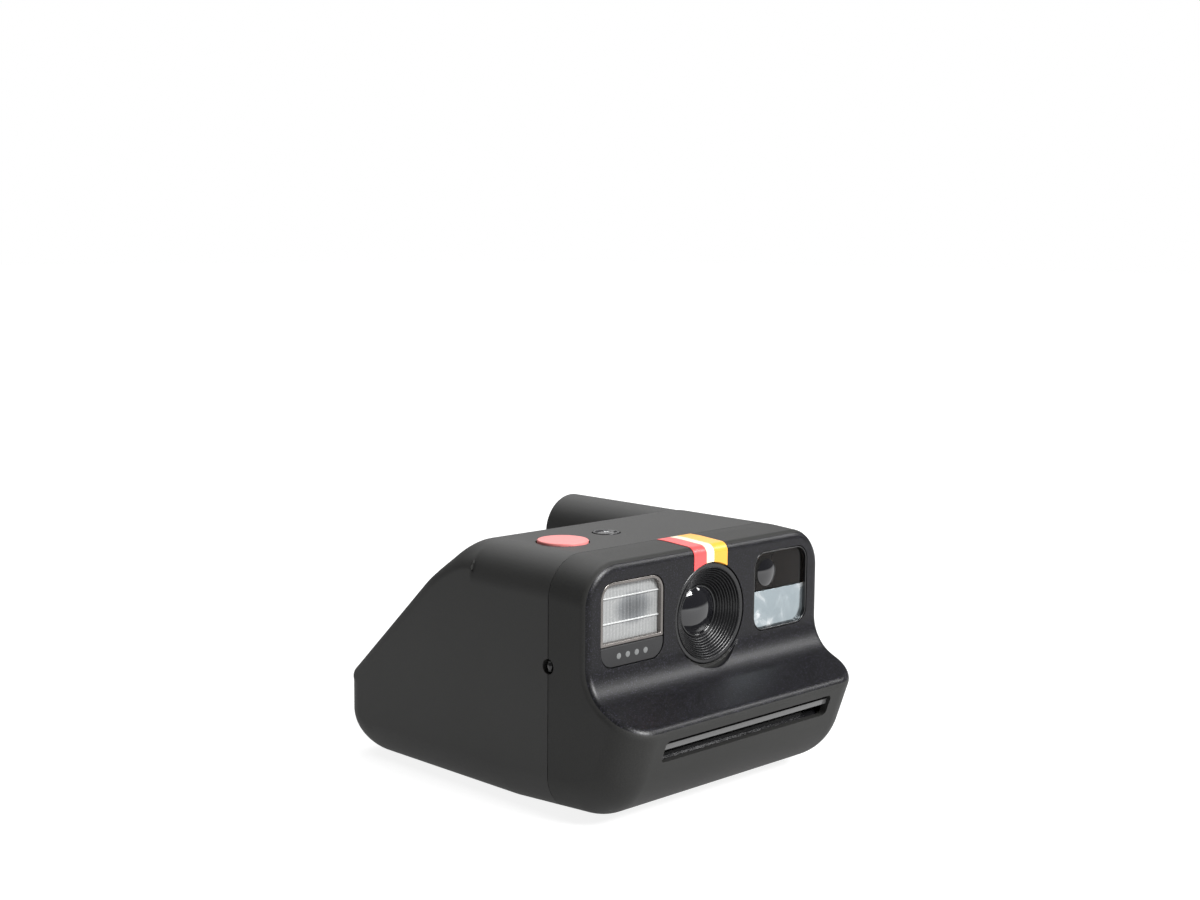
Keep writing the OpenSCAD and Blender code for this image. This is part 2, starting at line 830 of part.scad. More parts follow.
// Two soft lips behind the photo slot that meet at the film plane and keep light out
module light_seal() color("#0c0c0c") {
    half = slot_half - 0.6;
    tip = -45.8;
    thick = 0.6;
    along_x(-half, half) polygon([[tip, film_z + 0.1], [-48.9, 22.6], [-49.7, 22.6],
        [-49.4, 21.9], [tip - thick, film_z + 0.1]]);
    along_x(-half, half) polygon([[tip, film_z - 0.1], [tip - thick, film_z - 0.1],
        [-47.2, 15.8], [-47, 15], [-46.3, 15]]);
}

// Sliding hook that pushes the top sheet out of the film pack
module pick_arm() color("silver") {
    block(-31.8, -30.4, -14, 42.2, 16.6, 18.2);
    block(-31.8, -26.5, 41, 42.2, 15.4, 17.2);
}

// ---- electrics ----

module battery() color("#3f5f8f") {
    along_x(-39.4, -32.4) polygon(outline(box_corners(-12, 32, 10, 33, 1.5)));
}

module main_board() color("seagreen") {
    block(34.5, 35.5, -12, 28, 16.5, 38);
}

module board_components() color("#1d1d1f") {
    block(33.2, 34.5, -6, 4, 24, 34);
    block(33.4, 34.5, 8, 14, 26, 32);
    block(33.2, 34.5, 17, 25, 18.5, 24.5);
    for (y = [-8, 6, 11]) rod_x(y, 20, 32.7, 34.5, 1.4);
    for (k = [0:4]) block(33.9, 34.5, 14 + 2.4 * k, 15.4 + 2.4 * k, 34, 36.4);
}

module usb_port() color("silver") {
    along_x(35.5, half_w - 0.3) difference() {
        polygon(port_outline(0));
        polygon(port_outline(-0.3));
    }
    along_x(35.5, 36.3) polygon(port_outline(-0.2));
    block(35.5, half_w - 1.4, port_y - 3.2, port_y + 3.2, port_z - 0.3, port_z + 0.3);
}

front_shell();
rear_shell();
accent_stripe();
strap_lugs();
case_screws();
film_door();
pressure_springs();
door_hinge_pin();
door_latch();
shutter_button();
flash_button();
power_button();
button_board();
button_switches();
rear_board();
power_switch();
counter_display();
counter_window();
lens_baffle();
front_lens();
lens_barrel();
shutter_plate();
shutter_blade();
rear_lens();
flash_lens();
flash_reflector();
flash_tube();
flash_bezel();
light_sensor();
flash_capacitor();
viewfinder_window();
viewfinder_mirror();
viewfinder_tunnel();
eyepiece_lens();
eyepiece_ring();
mirror_box();
reflex_mirror();
film_gate();
exit_guide_bar();
light_seal();
roller_frame();
upper_roller();
upper_roller_gear();
lower_roller();
lower_roller_gear();
drive_gear();
drive_motor();
motor_pinion();
pick_arm();
battery();
main_board();
board_components();
usb_port();
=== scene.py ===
import json
import math

import bmesh
import bpy
import numpy as np
from mathutils import Matrix, Vector


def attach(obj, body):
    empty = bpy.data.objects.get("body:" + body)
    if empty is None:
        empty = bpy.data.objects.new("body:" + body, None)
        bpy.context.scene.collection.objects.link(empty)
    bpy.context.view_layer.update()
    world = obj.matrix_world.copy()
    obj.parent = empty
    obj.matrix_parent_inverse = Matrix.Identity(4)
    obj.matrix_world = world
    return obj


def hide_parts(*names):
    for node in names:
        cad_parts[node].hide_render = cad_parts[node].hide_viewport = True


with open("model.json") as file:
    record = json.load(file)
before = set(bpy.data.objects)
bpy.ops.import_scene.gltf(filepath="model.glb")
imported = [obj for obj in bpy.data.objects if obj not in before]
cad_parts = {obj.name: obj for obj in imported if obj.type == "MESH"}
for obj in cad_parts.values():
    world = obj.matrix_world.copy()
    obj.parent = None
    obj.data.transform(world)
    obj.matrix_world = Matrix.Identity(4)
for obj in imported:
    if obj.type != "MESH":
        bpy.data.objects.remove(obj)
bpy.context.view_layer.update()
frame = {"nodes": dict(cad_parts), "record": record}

# Lengths below are in millimetres, in the CAD frame; MM turns them into metres.
MM = 0.001

# ---- case ----
HALF_W, HALF_D, TOP = 41.95, 52.5, 61.5
WALL = 2.0
FACE_Y, SEAM_Y = -37.3, -25.0
SEAM_GAP = 0.16
SWOOP_R, SWOOP_Z = 10.0, 31.63
RIM_R = 2.1
PANEL_EDGE = -0.7
LIP = math.radians(25)
TILT = math.radians(19.7)
RISE, RISE_Y = math.radians(3.4), -9.0
SLOPE = math.radians(42.7)
SLOPE_Y, SLOPE_Z = 31.57, 39.92
NOSE_Y, NOSE_Z = -52.5, 24.0
BARREL_X, BARREL_Z, BARREL_R, BARREL_END = 31.95, 51.5, 9.8, 44.4
LENS_Z, BAFFLE_R, LENS_R = 44.4, 12.3, 6.2
WINDOW_X, WINDOW_W, WINDOW_H, WINDOW_R = 26.7, 21.0, 20.1, 4.0
FLASH_Z, FINDER_Z = 46.5, 47.0
BEZEL_TOP = 41.5
SLOT_HALF, SLOT_LOW, SLOT_HIGH = 30.0, 16.1, 21.5
SHUTTER = (-24.8, -11.7, 6.25)
FLASH_BUTTON = (-7.6, -9.3, 3.35)
POWER_X, POWER_R = -27.0, 3.6
COUNTER_X = -11.0
LUG_Z, LUG_R = 36.1, 1.8
SHOULDER_R, SLOPE_EDGE_R, SLOPE_FADE = 10.0, 4.0, 13.0
SCREW_X, SCREW_Z = 38.0, (12.0, 27.0)
BOSS_R, POST_LONG = 2.5, 8
TONGUE_IN, TONGUE_HALF = 1.05, 1.5
SLOT_BACK = -44
DOOR_HALF_W, DOOR_Y, DOOR_HALF_D, DOOR_DEEP = 31.3, 5.25, 39.55, 4
EYEPIECE_R, EYEPIECE_Y = 6, 40
SIDE_HOLE_X = 38
PORT_Y, PORT_Z = 20, 27
LATCH_Y, LATCH_Z = -2.8, 13


def plane_through(y0, z0, y1, z1):
    """Outward normal and offset of the side that runs anticlockwise from point 0 to point 1."""
    dy, dz = y1 - y0, z1 - z0
    length = math.hypot(dy, dz)
    ny, nz = dz / length, -dy / length
    return ny, nz, ny * y0 + nz * z0


def side(ny, nz, y, z):
    """Outward normal and offset of the side through the point y, z."""
    return ny, nz, ny * y + nz * z


# Slanted band between the flat top and the rim over the face.
CREST = plane_through(-28.0, TOP, -35.8, 61.0)

# Side outline, anticlockwise: plane, radius of the corner to the next plane, radius of the edge along it.
SIDES = [
    (side(1, 0, HALF_D, 0), 5.0, 5.3),
    (side(math.sin(SLOPE), math.cos(SLOPE), SLOPE_Y, SLOPE_Z), 15.0, SLOPE_EDGE_R),
    (side(0, 1, 0, TOP), 40.0, SHOULDER_R),
    (CREST, 0.0, SHOULDER_R),
    (side(-math.cos(TILT), -math.sin(TILT), NOSE_Y, NOSE_Z), 17.5, 8.7),
    (side(-math.sin(RISE), -math.cos(RISE), RISE_Y, 0), 20.0, 9.2),
    (side(0, -1, 0, 0), 11.4, 9.2),
]


def side_field(y, z):
    """Distance from the side outline, and the edge radius there."""
    values = [ny * y + nz * z - d for (ny, nz, d), _, _ in SIDES]
    sloped = values[1] >= np.maximum.reduce(values[:1] + values[2:])
    field = values[0]
    radius = np.zeros_like(field) + SIDES[0][2]
    for value, (_, _, edge) in zip(values[1:], SIDES[1:]):
        radius = np.where(value > field, edge, radius)
        field = np.maximum(field, value)
    for k, ((ny, nz, d), r, edge) in enumerate(SIDES):
        if r == 0:
            continue
        (my, mz, e), _, next_edge = SIDES[(k + 1) % len(SIDES)]
        det = ny * mz - nz * my
        cy = ((d - r) * mz - (e - r) * nz) / det
        cz = (ny * (e - r) - my * (d - r)) / det
        wy, wz = y - cy, z - cz
        from_first = ny * wz - nz * wy
        sector = (from_first >= 0) & (wy * mz - wz * my >= 0)
        far = np.hypot(wy, wz)
        field = np.where(sector, far - r, field)
        turned = np.arctan2(from_first, ny * wy + nz * wz) / math.atan2(det, ny * my + nz * mz)
        turned = np.clip(turned, 0, 1)
        blend = turned * turned * (3 - 2 * turned)
        radius = np.where(sector, edge + (next_edge - edge) * blend, radius)
        sloped = np.where(sector, k == 1, sloped)
    down = np.clip((TOP - z) / SLOPE_FADE, 0, 1)
    faded = SHOULDER_R + (SLOPE_EDGE_R - SHOULDER_R) * down * down * (3 - 2 * down)
    return field, np.where(sloped, faded, radius)


def round_and(a, b, r):
    """Both a and b, with their common edge rounded."""
    u, v = a + r, b + r
    return np.minimum(np.maximum(u, v), 0) + np.hypot(np.maximum(u, 0), np.maximum(v, 0)) - r


def round_or(a, b, r):
    """Either a or b, with the inner corner filled to about radius r."""
    reach = 1.65 * r
    near = np.maximum(1 - np.abs(a - b) / reach, 0)
    return np.minimum(a, b) - near * near * reach / 4


def notch_field(y, z):
    """Positive in front of the upper face and above the lip: what the swoop takes away."""
    ahead = FACE_Y - y
    above = (z - SWOOP_Z) * math.cos(LIP) - (y - FACE_Y) * math.sin(LIP)
    cy = FACE_Y - SWOOP_R
    cz = SWOOP_Z + (SWOOP_R - SWOOP_R * math.sin(LIP)) / math.cos(LIP)
    wy, wz = y - cy, z - cz
    sector = (wz <= 0) & (math.sin(LIP) * wz + math.cos(LIP) * wy >= 0)
    return np.where(sector, SWOOP_R - np.hypot(wy, wz), np.minimum(ahead, above))


def body_field(x, y, z):
    """Case without the viewfinder barrel."""
    outline, radius = side_field(y, z)
    shell = round_and(outline, np.abs(x) - HALF_W, radius)
    return round_and(shell, notch_field(y, z), RIM_R)


def with_barrel(x, y, z):
    """Case and viewfinder barrel, with a fillet on the barrel's inner side behind the flat top."""
    body = body_field(x, y, z)
    barrel = np.hypot(x - BARREL_X, z - BARREL_Z) - BARREL_R
    barrel = np.maximum(barrel, np.maximum(y - BARREL_END, -30 - y))
    drop = TOP - (SLOPE_Z - (y - SLOPE_Y) * math.tan(SLOPE))
    fillet = 0.01 + 2.2 * np.clip((BARREL_X + 3 - x) / 5, 0, 1) * np.clip(drop / 8, 0, 1)
    return round_or(body, barrel, fillet + 0 * body)


def rounded_box(u, v, half_u, half_v, r):
    du, dv = np.abs(u) - half_u + r, np.abs(v) - half_v + r
    return np.hypot(np.maximum(du, 0), np.maximum(dv, 0)) + np.minimum(np.maximum(du, dv), 0) - r


def cut(solid, hole):
    return np.maximum(solid, -hole)


def bosses(x, z):
    """Distance from the nearest screw axis; the screws run along Y."""
    near = [np.hypot(np.abs(x) - SCREW_X, z - h) for h in SCREW_Z]
    return np.minimum(near[0], near[1])


def door_gap(x, y, z):
    """Opening for the film door in the underside."""
    long = np.maximum(np.abs(y - DOOR_Y) - DOOR_HALF_D, z - DOOR_DEEP)
    return np.maximum(np.abs(x) - DOOR_HALF_W, long)


def front_field(x, y, z):
    """Front shell: skin, tongue in the seam, screw posts, lens collar, windows and photo slot."""
    body = body_field(x, y, z)
    shell = np.maximum(np.maximum(body, -(body + WALL)), y - SEAM_Y + SEAM_GAP / 2)
    tongue = np.maximum(np.maximum(body + TONGUE_IN, -(body + WALL)), np.abs(y - SEAM_Y) - TONGUE_HALF)
    screw = bosses(x, z)
    ends = np.maximum(SEAM_Y - POST_LONG - y, y - SEAM_Y + 0.05)
    posts = np.maximum(np.maximum(body + 1, screw - BOSS_R), ends)
    solid = np.minimum(np.minimum(shell, tongue), posts)
    solid = cut(solid, np.maximum(screw - 0.8, SEAM_Y - 7.2 - y))
    axis = np.hypot(x, z - LENS_Z)
    collar = np.maximum(np.maximum(body + 1, axis - BAFFLE_R - 2.2), y - FACE_Y - WALL)
    solid = np.minimum(solid, collar)
    solid = cut(solid, np.maximum(axis - BAFFLE_R - 0.15, y - FACE_Y - 3))
    solid = cut(solid, np.maximum(axis - BAFFLE_R - 0.7, y - FACE_Y))
    for cx, cz in ((-WINDOW_X, FLASH_Z), (WINDOW_X, FINDER_Z)):
        window = rounded_box(x - cx, z - cz, WINDOW_W / 2, WINDOW_H / 2, WINDOW_R)
        solid = cut(solid, np.maximum(window, y - FACE_Y - 3))
    slot_z = (SLOT_LOW + SLOT_HIGH) / 2
    slot = rounded_box(x, z - slot_z, SLOT_HALF, (SLOT_HIGH - SLOT_LOW) / 2, 1.2)
    solid = cut(solid, np.maximum(slot, y - SLOT_BACK))
    solid = cut(solid, door_gap(x, y, z))
    return cut(solid, np.hypot(y - SEAM_Y, z - LUG_Z) - LUG_R)


def rear_field(x, y, z):
    """Rear shell: skin, screw posts and the holes for buttons, counter, eyepiece, port and latch."""
    body = with_barrel(x, y, z)
    shell = np.maximum(np.maximum(body, -(body + WALL)), SEAM_Y + SEAM_GAP / 2 - y)
    shell = cut(shell, np.maximum(body + 0.95, y - SEAM_Y - 1.6))
    shell = cut(shell, door_gap(x, y, z))
    screw = bosses(x, z)
    ends = np.maximum(SEAM_Y + 0.1 - y, y - SEAM_Y - POST_LONG)
    posts = np.maximum(np.maximum(body + 1, screw - BOSS_R), ends)
    solid = cut(np.minimum(shell, posts), np.maximum(screw - 0.9, y - SEAM_Y - 9))
    for cx, cy, r in (SHUTTER, FLASH_BUTTON):
        solid = cut(solid, np.maximum(np.hypot(x - cx, y - cy) - r - 0.3, 50 - z))
    down = (y - SLOPE_Y) * math.cos(SLOPE) - (z - SLOPE_Z) * math.sin(SLOPE)
    out = (y - SLOPE_Y) * math.sin(SLOPE) + (z - SLOPE_Z) * math.cos(SLOPE)
    near = np.abs(out) - 4
    solid = cut(solid, np.maximum(np.hypot(x - POWER_X, down) - POWER_R - 0.3, near))
    solid = cut(solid, np.maximum(rounded_box(x - COUNTER_X, down, 6, 3.5, 2), near))
    solid = cut(solid, np.maximum(np.hypot(x - BARREL_X, z - BARREL_Z) - EYEPIECE_R, EYEPIECE_Y - y))
    port = rounded_box(y - PORT_Y, z - PORT_Z, 4.8, 1.9, 1.6)
    latch = np.maximum(np.abs(y - LATCH_Y) - 6.2, np.abs(z - LATCH_Z) - 2.2)
    solid = cut(solid, np.maximum(np.minimum(port, latch), SIDE_HOLE_X - x))
    return cut(solid, np.hypot(y - SEAM_Y, z - LUG_Z) - LUG_R)


# ---- meshes from fields ----


def gradient(field, p, eps=0.01):
    columns = []
    for axis in range(3):
        step = np.zeros(3)
        step[axis] = eps
        a, b = p + step, p - step
        columns.append(field(a[:, 0], a[:, 1], a[:, 2]) - field(b[:, 0], b[:, 1], b[:, 2]))
    g = np.stack(columns, 1)
    return g / np.maximum(np.linalg.norm(g, axis=1), 1e-12)[:, None]


# A direction with less than this share of the strongest one counts as flat.
FLAT_SHARE = 0.06


def contour(field, low, high, step):
    """Points and quads of the surface field = 0.

    Each cell that the surface crosses holds one point, placed so that sharp edges stay sharp.
    """
    low = np.array(low, float)
    count = np.ceil((np.array(high) - low) / step).astype(int) + 1
    x, y, z = (low[k] + step * np.arange(count[k]) for k in range(3))
    value = field(x[:, None, None], y[None, :, None], z[None, None, :])
    inside = value < 0
    cells = count - 1
    rows, points, normals, quads = [], [], [], []
    for axis in range(3):
        first = [slice(None)] * 3
        second = [slice(None)] * 3
        first[axis], second[axis] = slice(None, -1), slice(1, None)
        crossing = inside[tuple(first)] != inside[tuple(second)]
        at = np.argwhere(crossing)
        u, v = (axis + 1) % 3, (axis + 2) % 3
        ok = (at[:, u] > 0) & (at[:, v] > 0) & (at[:, u] < cells[u]) & (at[:, v] < cells[v])
        at = at[ok]
        start = low + at * step
        other = at.copy()
        other[:, axis] += 1
        f0 = value[at[:, 0], at[:, 1], at[:, 2]]
        f1 = value[other[:, 0], other[:, 1], other[:, 2]]
        rising = f0 < 0
        t0, t1 = np.zeros(len(at)), np.ones(len(at))
        for _ in range(7):
            margin = 0.02 * (t1 - t0)
            t = np.clip(t0 - f0 * (t1 - t0) / (f1 - f0), t0 + margin, t1 - margin)
            p = start.copy()
            p[:, axis] += t * step
            f = field(p[:, 0], p[:, 1], p[:, 2])
            left = (f < 0) == (f0 < 0)
            t0, f0 = np.where(left, t, t0), np.where(left, f, f0)
            t1, f1 = np.where(left, t1, t), np.where(left, f1, f)
        around = []
        for du, dv in ((0, 0), (-1, 0), (-1, -1), (0, -1)):
            cell = at.copy()
            cell[:, u] += du
            cell[:, v] += dv
            around.append((cell[:, 0] * cells[1] + cell[:, 1]) * cells[2] + cell[:, 2])
        around = np.stack(around, 1)
        rows.append(around.ravel())
        points.append(np.repeat(p, 4, 0))
        normals.append(np.repeat(gradient(field, p, 0.004), 4, 0))
        quads.append(np.where(rising[:, None], around, around[:, ::-1]))
    rows, points, normals = np.concatenate(rows), np.concatenate(points), np.concatenate(normals)
    quads = np.concatenate(quads)
    used, rows = np.unique(rows, return_inverse=True)
    rows = rows.ravel()
    n = len(used)

    def total(weights):
        return np.bincount(rows, weights, n)

    share = total(np.ones(len(rows)))
    middle = np.stack([total(points[:, k]) for k in range(3)], 1) / share[:, None]
    offset = np.sum(normals * (points - middle[rows]), 1)
    matrix = np.empty((n, 3, 3))
    for i in range(3):
        for j in range(3):
            matrix[:, i, j] = total(normals[:, i] * normals[:, j])
    target = np.stack([total(normals[:, k] * offset) for k in range(3)], 1)
    size, basis = np.linalg.eigh(matrix)
    keep = size > FLAT_SHARE * size[:, 2:3]
    inverse = np.where(keep, 1 / np.where(keep, size, 1), 0)
    local = np.einsum("nij,ni->nj", basis, target) * inverse
    place = middle + np.einsum("nij,nj->ni", basis, local)
    corner = np.stack([used // (cells[1] * cells[2]), used // cells[2] % cells[1], used % cells[2]], 1)
    base = low + corner * step
    place = np.clip(place, base, base + step)
    return place, np.searchsorted(used, quads)


def field_mesh(name, field, low, high, step, attribute=None):
    """Smooth mesh of a field; a given attribute function (y, z) is stored at each point as panel."""
    place, quads = contour(field, low, high, step)
    mesh = bpy.data.meshes.new(name)
    mesh.vertices.add(len(place))
    mesh.vertices.foreach_set("co", (place * MM).astype(np.float32).ravel())
    mesh.loops.add(quads.size)
    mesh.loops.foreach_set("vertex_index", quads.astype(np.int32).ravel())
    mesh.polygons.add(len(quads))
    mesh.polygons.foreach_set("loop_start", np.arange(0, quads.size, 4, dtype=np.int32))
    mesh.update(calc_edges=True)
    mesh.polygons.foreach_set("use_smooth", np.ones(len(quads), bool))
    if attribute is not None:
        data = mesh.attributes.new("panel", "FLOAT", "POINT").data
        data.foreach_set("value", attribute(place[:, 1], place[:, 2]).astype(np.float32))
    centre = place[quads].mean(1)
    near = place[quads] * 0.72 + centre[:, None, :] * 0.28
    mesh.normals_split_custom_set(gradient(field, near.reshape(-1, 3)))
    return mesh


# ---- other mesh helpers ----


def add_object(name, data):
    obj = bpy.data.objects.new(name, data)
    bpy.context.scene.collection.objects.link(obj)
    return obj


def add_mesh(name, mesh, body, finish, replaces=()):
    obj = add_object(name, mesh)
    mesh.materials.append(finish)
    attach(obj, body)
    if replaces:
        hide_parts(*replaces)
    return obj


def mesh_from(name, points, faces, smooth=True, sharp=30):
    mesh = bpy.data.meshes.new(name)
    mesh.from_pydata([tuple(c * MM for c in p) for p in points], [], faces)
    mesh.polygons.foreach_set("use_smooth", [smooth] * len(mesh.polygons))
    build = bmesh.new()
    build.from_mesh(mesh)
    bmesh.ops.remove_doubles(build, verts=build.verts, dist=1e-7)
    bmesh.ops.recalc_face_normals(build, faces=build.faces)
    build.to_mesh(mesh)
    build.free()
    if smooth:
        mesh.set_sharp_from_angle(angle=math.radians(sharp))
    return mesh


def arc(cx, cy, r, start, end, count):
    angles = np.radians(np.linspace(start, end, count + 1))
    return [(cx + r * math.cos(t), cy + r * math.sin(t)) for t in angles]


def lathe(name, profile, place, count=128):
    """Closed ring or disc from profile points (radius, height) turned about the local Z axis of place."""
    points, faces = [], []
    rings = []
    for r, h in profile:
        if r < 1e-6:
            rings.append([len(points)])
            points.append(place @ Vector((0, 0, h)))
        else:
            rings.append(list(range(len(points), len(points) + count)))
            for k in range(count):
                t = 2 * math.pi * k / count
                points.append(place @ Vector((r * math.cos(t), r * math.sin(t), h)))
    closed = profile[0][0] > 1e-6 and profile[-1][0] > 1e-6
    pairs = list(zip(rings, rings[1:] + rings[:1])) if closed else list(zip(rings, rings[1:]))
    for a, b in pairs:
        for k in range(count):
            j = (k + 1) % count
            loop = [a[k % len(a)], a[j % len(a)], b[j % len(b)], b[k % len(b)]]
            loop = [v for i, v in enumerate(loop) if v not in loop[:i]]
            if len(loop) > 2:
                faces.append(loop)
    return mesh_from(name, points, faces)


def facing_front(x, y, z):
    """Local Z points to the front, out of the face."""
    return Matrix.Translation((x, y, z)) @ Matrix.Rotation(math.radians(90), 4, "X")


def upright(x, y, z):
    return Matrix.Translation((x, y, z))


def on_slope(x, down=0.0, out=0.0):
    turn = Matrix.Translation((x, SLOPE_Y, SLOPE_Z)) @ Matrix.Rotation(-SLOPE, 4, "X")
    return turn @ Matrix.Translation((0, down, out))


def rounded_rect(half_u, half_v, radii, count=10):
    """Points anticlockwise round a rounded rectangle; four radii, from the upper right corner on."""
    points = []
    for (su, sv), q, start in zip(((1, 1), (-1, 1), (-1, -1), (1, -1)), radii, (0, 90, 180, 270)):
        q = max(q, 0.02)
        points += arc(su * (half_u - q), sv * (half_v - q), q, start, start + 90, count)
    return points


def rim_layers(low, high, edge, steps=4):
    """Inset and height of each outline of a plate whose upper rim is rounded to radius edge."""
    layers = [(0.0, low)]
    for k in range(steps + 1):
        t = math.radians(90 * k / steps)
        layers.append((edge * (1 - math.cos(t)), high - edge + edge * math.sin(t)))
    return layers


def skin(rings, place, closed):
    """Points of the rings and the quads between them; closed also joins the last ring to the first."""
    n = len(rings[0])
    points = [place @ Vector(p) for ring in rings for p in ring]
    faces = []
    for k in range(len(rings) if closed else len(rings) - 1):
        m = (k + 1) % len(rings)
        for j in range(n):
            i = (j + 1) % n
            faces.append([k * n + j, k * n + i, m * n + i, m * n + j])
    return points, faces


def plate(name, half_u, half_v, radii, low, high, edge, place):
    """Rounded plate from height low to high with its upper rim rounded to radius edge."""
    rings = []
    for i, h in rim_layers(low, high, edge):
        outline = rounded_rect(half_u - i, half_v - i, [max(q - i, 0.05) for q in radii])
        rings.append([(u, v, h) for u, v in outline])
    points, faces = skin(rings, place, False)
    n = len(rings[0])
    faces.append(list(range(n))[::-1])
    faces.append(list(range((len(rings) - 1) * n, len(rings) * n)))
    return mesh_from(name, points, faces)


def frame_ring(name, outer, inner, low, high, edge, place):
    """Ring between two rounded rectangles (half_u, half_v, radii) with rounded upper rims."""
    layers = rim_layers(low, high, edge)
    rings = []
    for (half_u, half_v, radii), sign, order in ((outer, -1, layers), (inner, 1, layers[::-1])):
        for i, h in order:
            outline = rounded_rect(half_u + sign * i, half_v + sign * i, [q + sign * i for q in radii])
            rings.append([(u, v, h) for u, v in outline])
    points, faces = skin(rings, place, True)
    return mesh_from(name, points, faces)


# ---- materials ----


def new_material(name):
    found = bpy.data.materials.new(name)
    found.use_nodes = True
    tree = found.node_tree
    tree.nodes.clear()
    shader = tree.nodes.new("ShaderNodeBsdfPrincipled")
    output = tree.nodes.new("ShaderNodeOutputMaterial")
    tree.links.new(shader.outputs["BSDF"], output.inputs["Surface"])
    return found, tree, shader


def noise(tree, scale, detail=3.0, stretch=None):
    coords = tree.nodes.new("ShaderNodeTexCoord")
    source = coords.outputs["Object"]
    if stretch:
        mapping = tree.nodes.new("ShaderNodeMapping")
        mapping.inputs["Scale"].default_value = stretch
        tree.links.new(source, mapping.inputs["Vector"])
        source = mapping.outputs["Vector"]
    tex = tree.nodes.new("ShaderNodeTexNoise")
    tex.inputs["Scale"].default_value = scale
    tex.inputs["Detail"].default_value = detail
    tree.links.new(source, tex.inputs["Vector"])
    return tex.outputs["Fac"]


def ramp(tree, source, stops):
    node = tree.nodes.new("ShaderNodeValToRGB")
    while len(node.color_ramp.elements) < len(stops):
        node.color_ramp.elements.new(0.5)
    for element, (position, colour) in zip(node.color_ramp.elements, stops):
        element.position = position
        element.color = (*colour, 1)
    tree.links.new(source, node.inputs["Fac"])
    return node.outputs["Color"]


def remap(tree, source, low, high, start=0.3, end=0.7):
    node = tree.nodes.new("ShaderNodeMapRange")
    node.inputs["From Min"].default_value = start
    node.inputs["From Max"].default_value = end
    node.inputs["To Min"].default_value = low
    node.inputs["To Max"].default_value = high
    tree.links.new(source, node.inputs["Value"])
    return node.outputs["Result"]


def mix_colour(tree, factor, a, b):
    node = tree.nodes.new("ShaderNodeMix")
    node.data_type = "RGBA"
    tree.links.new(factor, node.inputs["Factor"])
    tree.links.new(a, node.inputs["A"])
    tree.links.new(b, node.inputs["B"])
    return node.outputs["Result"]


def blend(tree, kind, a, b):
    """Colour b laid fully over colour a in the way that kind names."""
    node = tree.nodes.new("ShaderNodeMix")
    node.data_type = "RGBA"
    node.blend_type = kind
    node.inputs["Factor"].default_value = 1
    tree.links.new(a, node.inputs["A"])
    tree.links.new(b, node.inputs["B"])
    return node.outputs["Result"]


def mix_value(tree, factor, a, b):
    node = tree.nodes.new("ShaderNodeMix")
    tree.links.new(factor, node.inputs["Factor"])
    tree.links.new(a, node.inputs["A"])
    tree.links.new(b, node.inputs["B"])
    return node.outputs["Result"]


def bump(tree, shader, height, distance, strength=1.0, bevel=0.0):
    node = tree.nodes.new("ShaderNodeBump")
    node.inputs["Distance"].default_value = distance
    node.inputs["Strength"].default_value = strength
    tree.links.new(height, node.inputs["Height"])
    if bevel:
        soft = tree.nodes.new("ShaderNodeBevel")
        soft.samples = 4
        soft.inputs["Radius"].default_value = bevel
        tree.links.new(soft.outputs["Normal"], node.inputs["Normal"])
    tree.links.new(node.outputs["Normal"], shader.inputs["Normal"])


def plastic(name, colour, rough=0.5, vary=0.12, grain=2600.0, depth=0.00002, specular=0.5,
            metallic=0.0, coat=0.0, stretch=None, ior=1.5):
    """Moulded plastic, metal or rubber: mottled colour, uneven gloss and a fine grain."""
    found, tree, shader = new_material(name)
    broad = noise(tree, 90, 4, stretch)
    dark = tuple(c * (1 - vary) for c in colour)
    light = tuple(min(c * (1 + vary), 1) for c in colour)
    tree.links.new(ramp(tree, broad, [(0.3, dark), (0.7, light)]), shader.inputs["Base Color"])
    fine = noise(tree, grain, 2, stretch)
    uneven = remap(tree, fine, max(rough - 0.05, 0.02), min(rough + 0.05, 1))
    tree.links.new(uneven, shader.inputs["Roughness"])
    bump(tree, shader, fine, depth, 0.6)
    shader.inputs["Specular IOR Level"].default_value = specular
    shader.inputs["Metallic"].default_value = metallic
    shader.inputs["IOR"].default_value = ior
    if coat:
        shader.inputs["Coat Weight"].default_value = coat
        shader.inputs["Coat Roughness"].default_value = 0.08
    return found


def shell_material(name, two_tone):
    """Matt charcoal moulding; two_tone adds the speckled satin black panel inside the rim line."""
    found, tree, shader = new_material(name)
    broad = noise(tree, 40, 4)
    fine = noise(tree, 3200, 2)
    charcoal = ramp(tree, broad, [(0.3, (0.022, 0.022, 0.021)), (0.7, (0.026, 0.026, 0.025))])
    speck = ramp(tree, fine, [(0.35, (0.86, 0.86, 0.86)), (0.65, (1.14, 1.14, 1.14))])
    colour = blend(tree, "MULTIPLY", charcoal, speck)
    rough = remap(tree, fine, 0.50, 0.58)
    if two_tone:
        attribute = tree.nodes.new("ShaderNodeAttribute")
        attribute.attribute_name = "panel"
        inside = remap(tree, attribute.outputs["Fac"], 0, 1, PANEL_EDGE - 0.02, PANEL_EDGE + 0.02)
        grit = noise(tree, 3000, 2)
        black = ramp(tree, grit, [(0.42, (0.0035, 0.0035, 0.0042)), (0.56, (0.0055, 0.0055, 0.0068)),
                                  (0.70, (0.030, 0.028, 0.042))])
        satin = remap(tree, grit, 0.33, 0.41)
        colour = mix_colour(tree, inside, colour, black)
        rough = mix_value(tree, inside, rough, satin)
    tree.links.new(colour, shader.inputs["Base Color"])
    tree.links.new(rough, shader.inputs["Roughness"])
    shader.inputs["Specular IOR Level"].default_value = 0.32 if two_tone else 0.5
    bump(tree, shader, fine, 0.00003, 0.7, 0.00018)
    return found


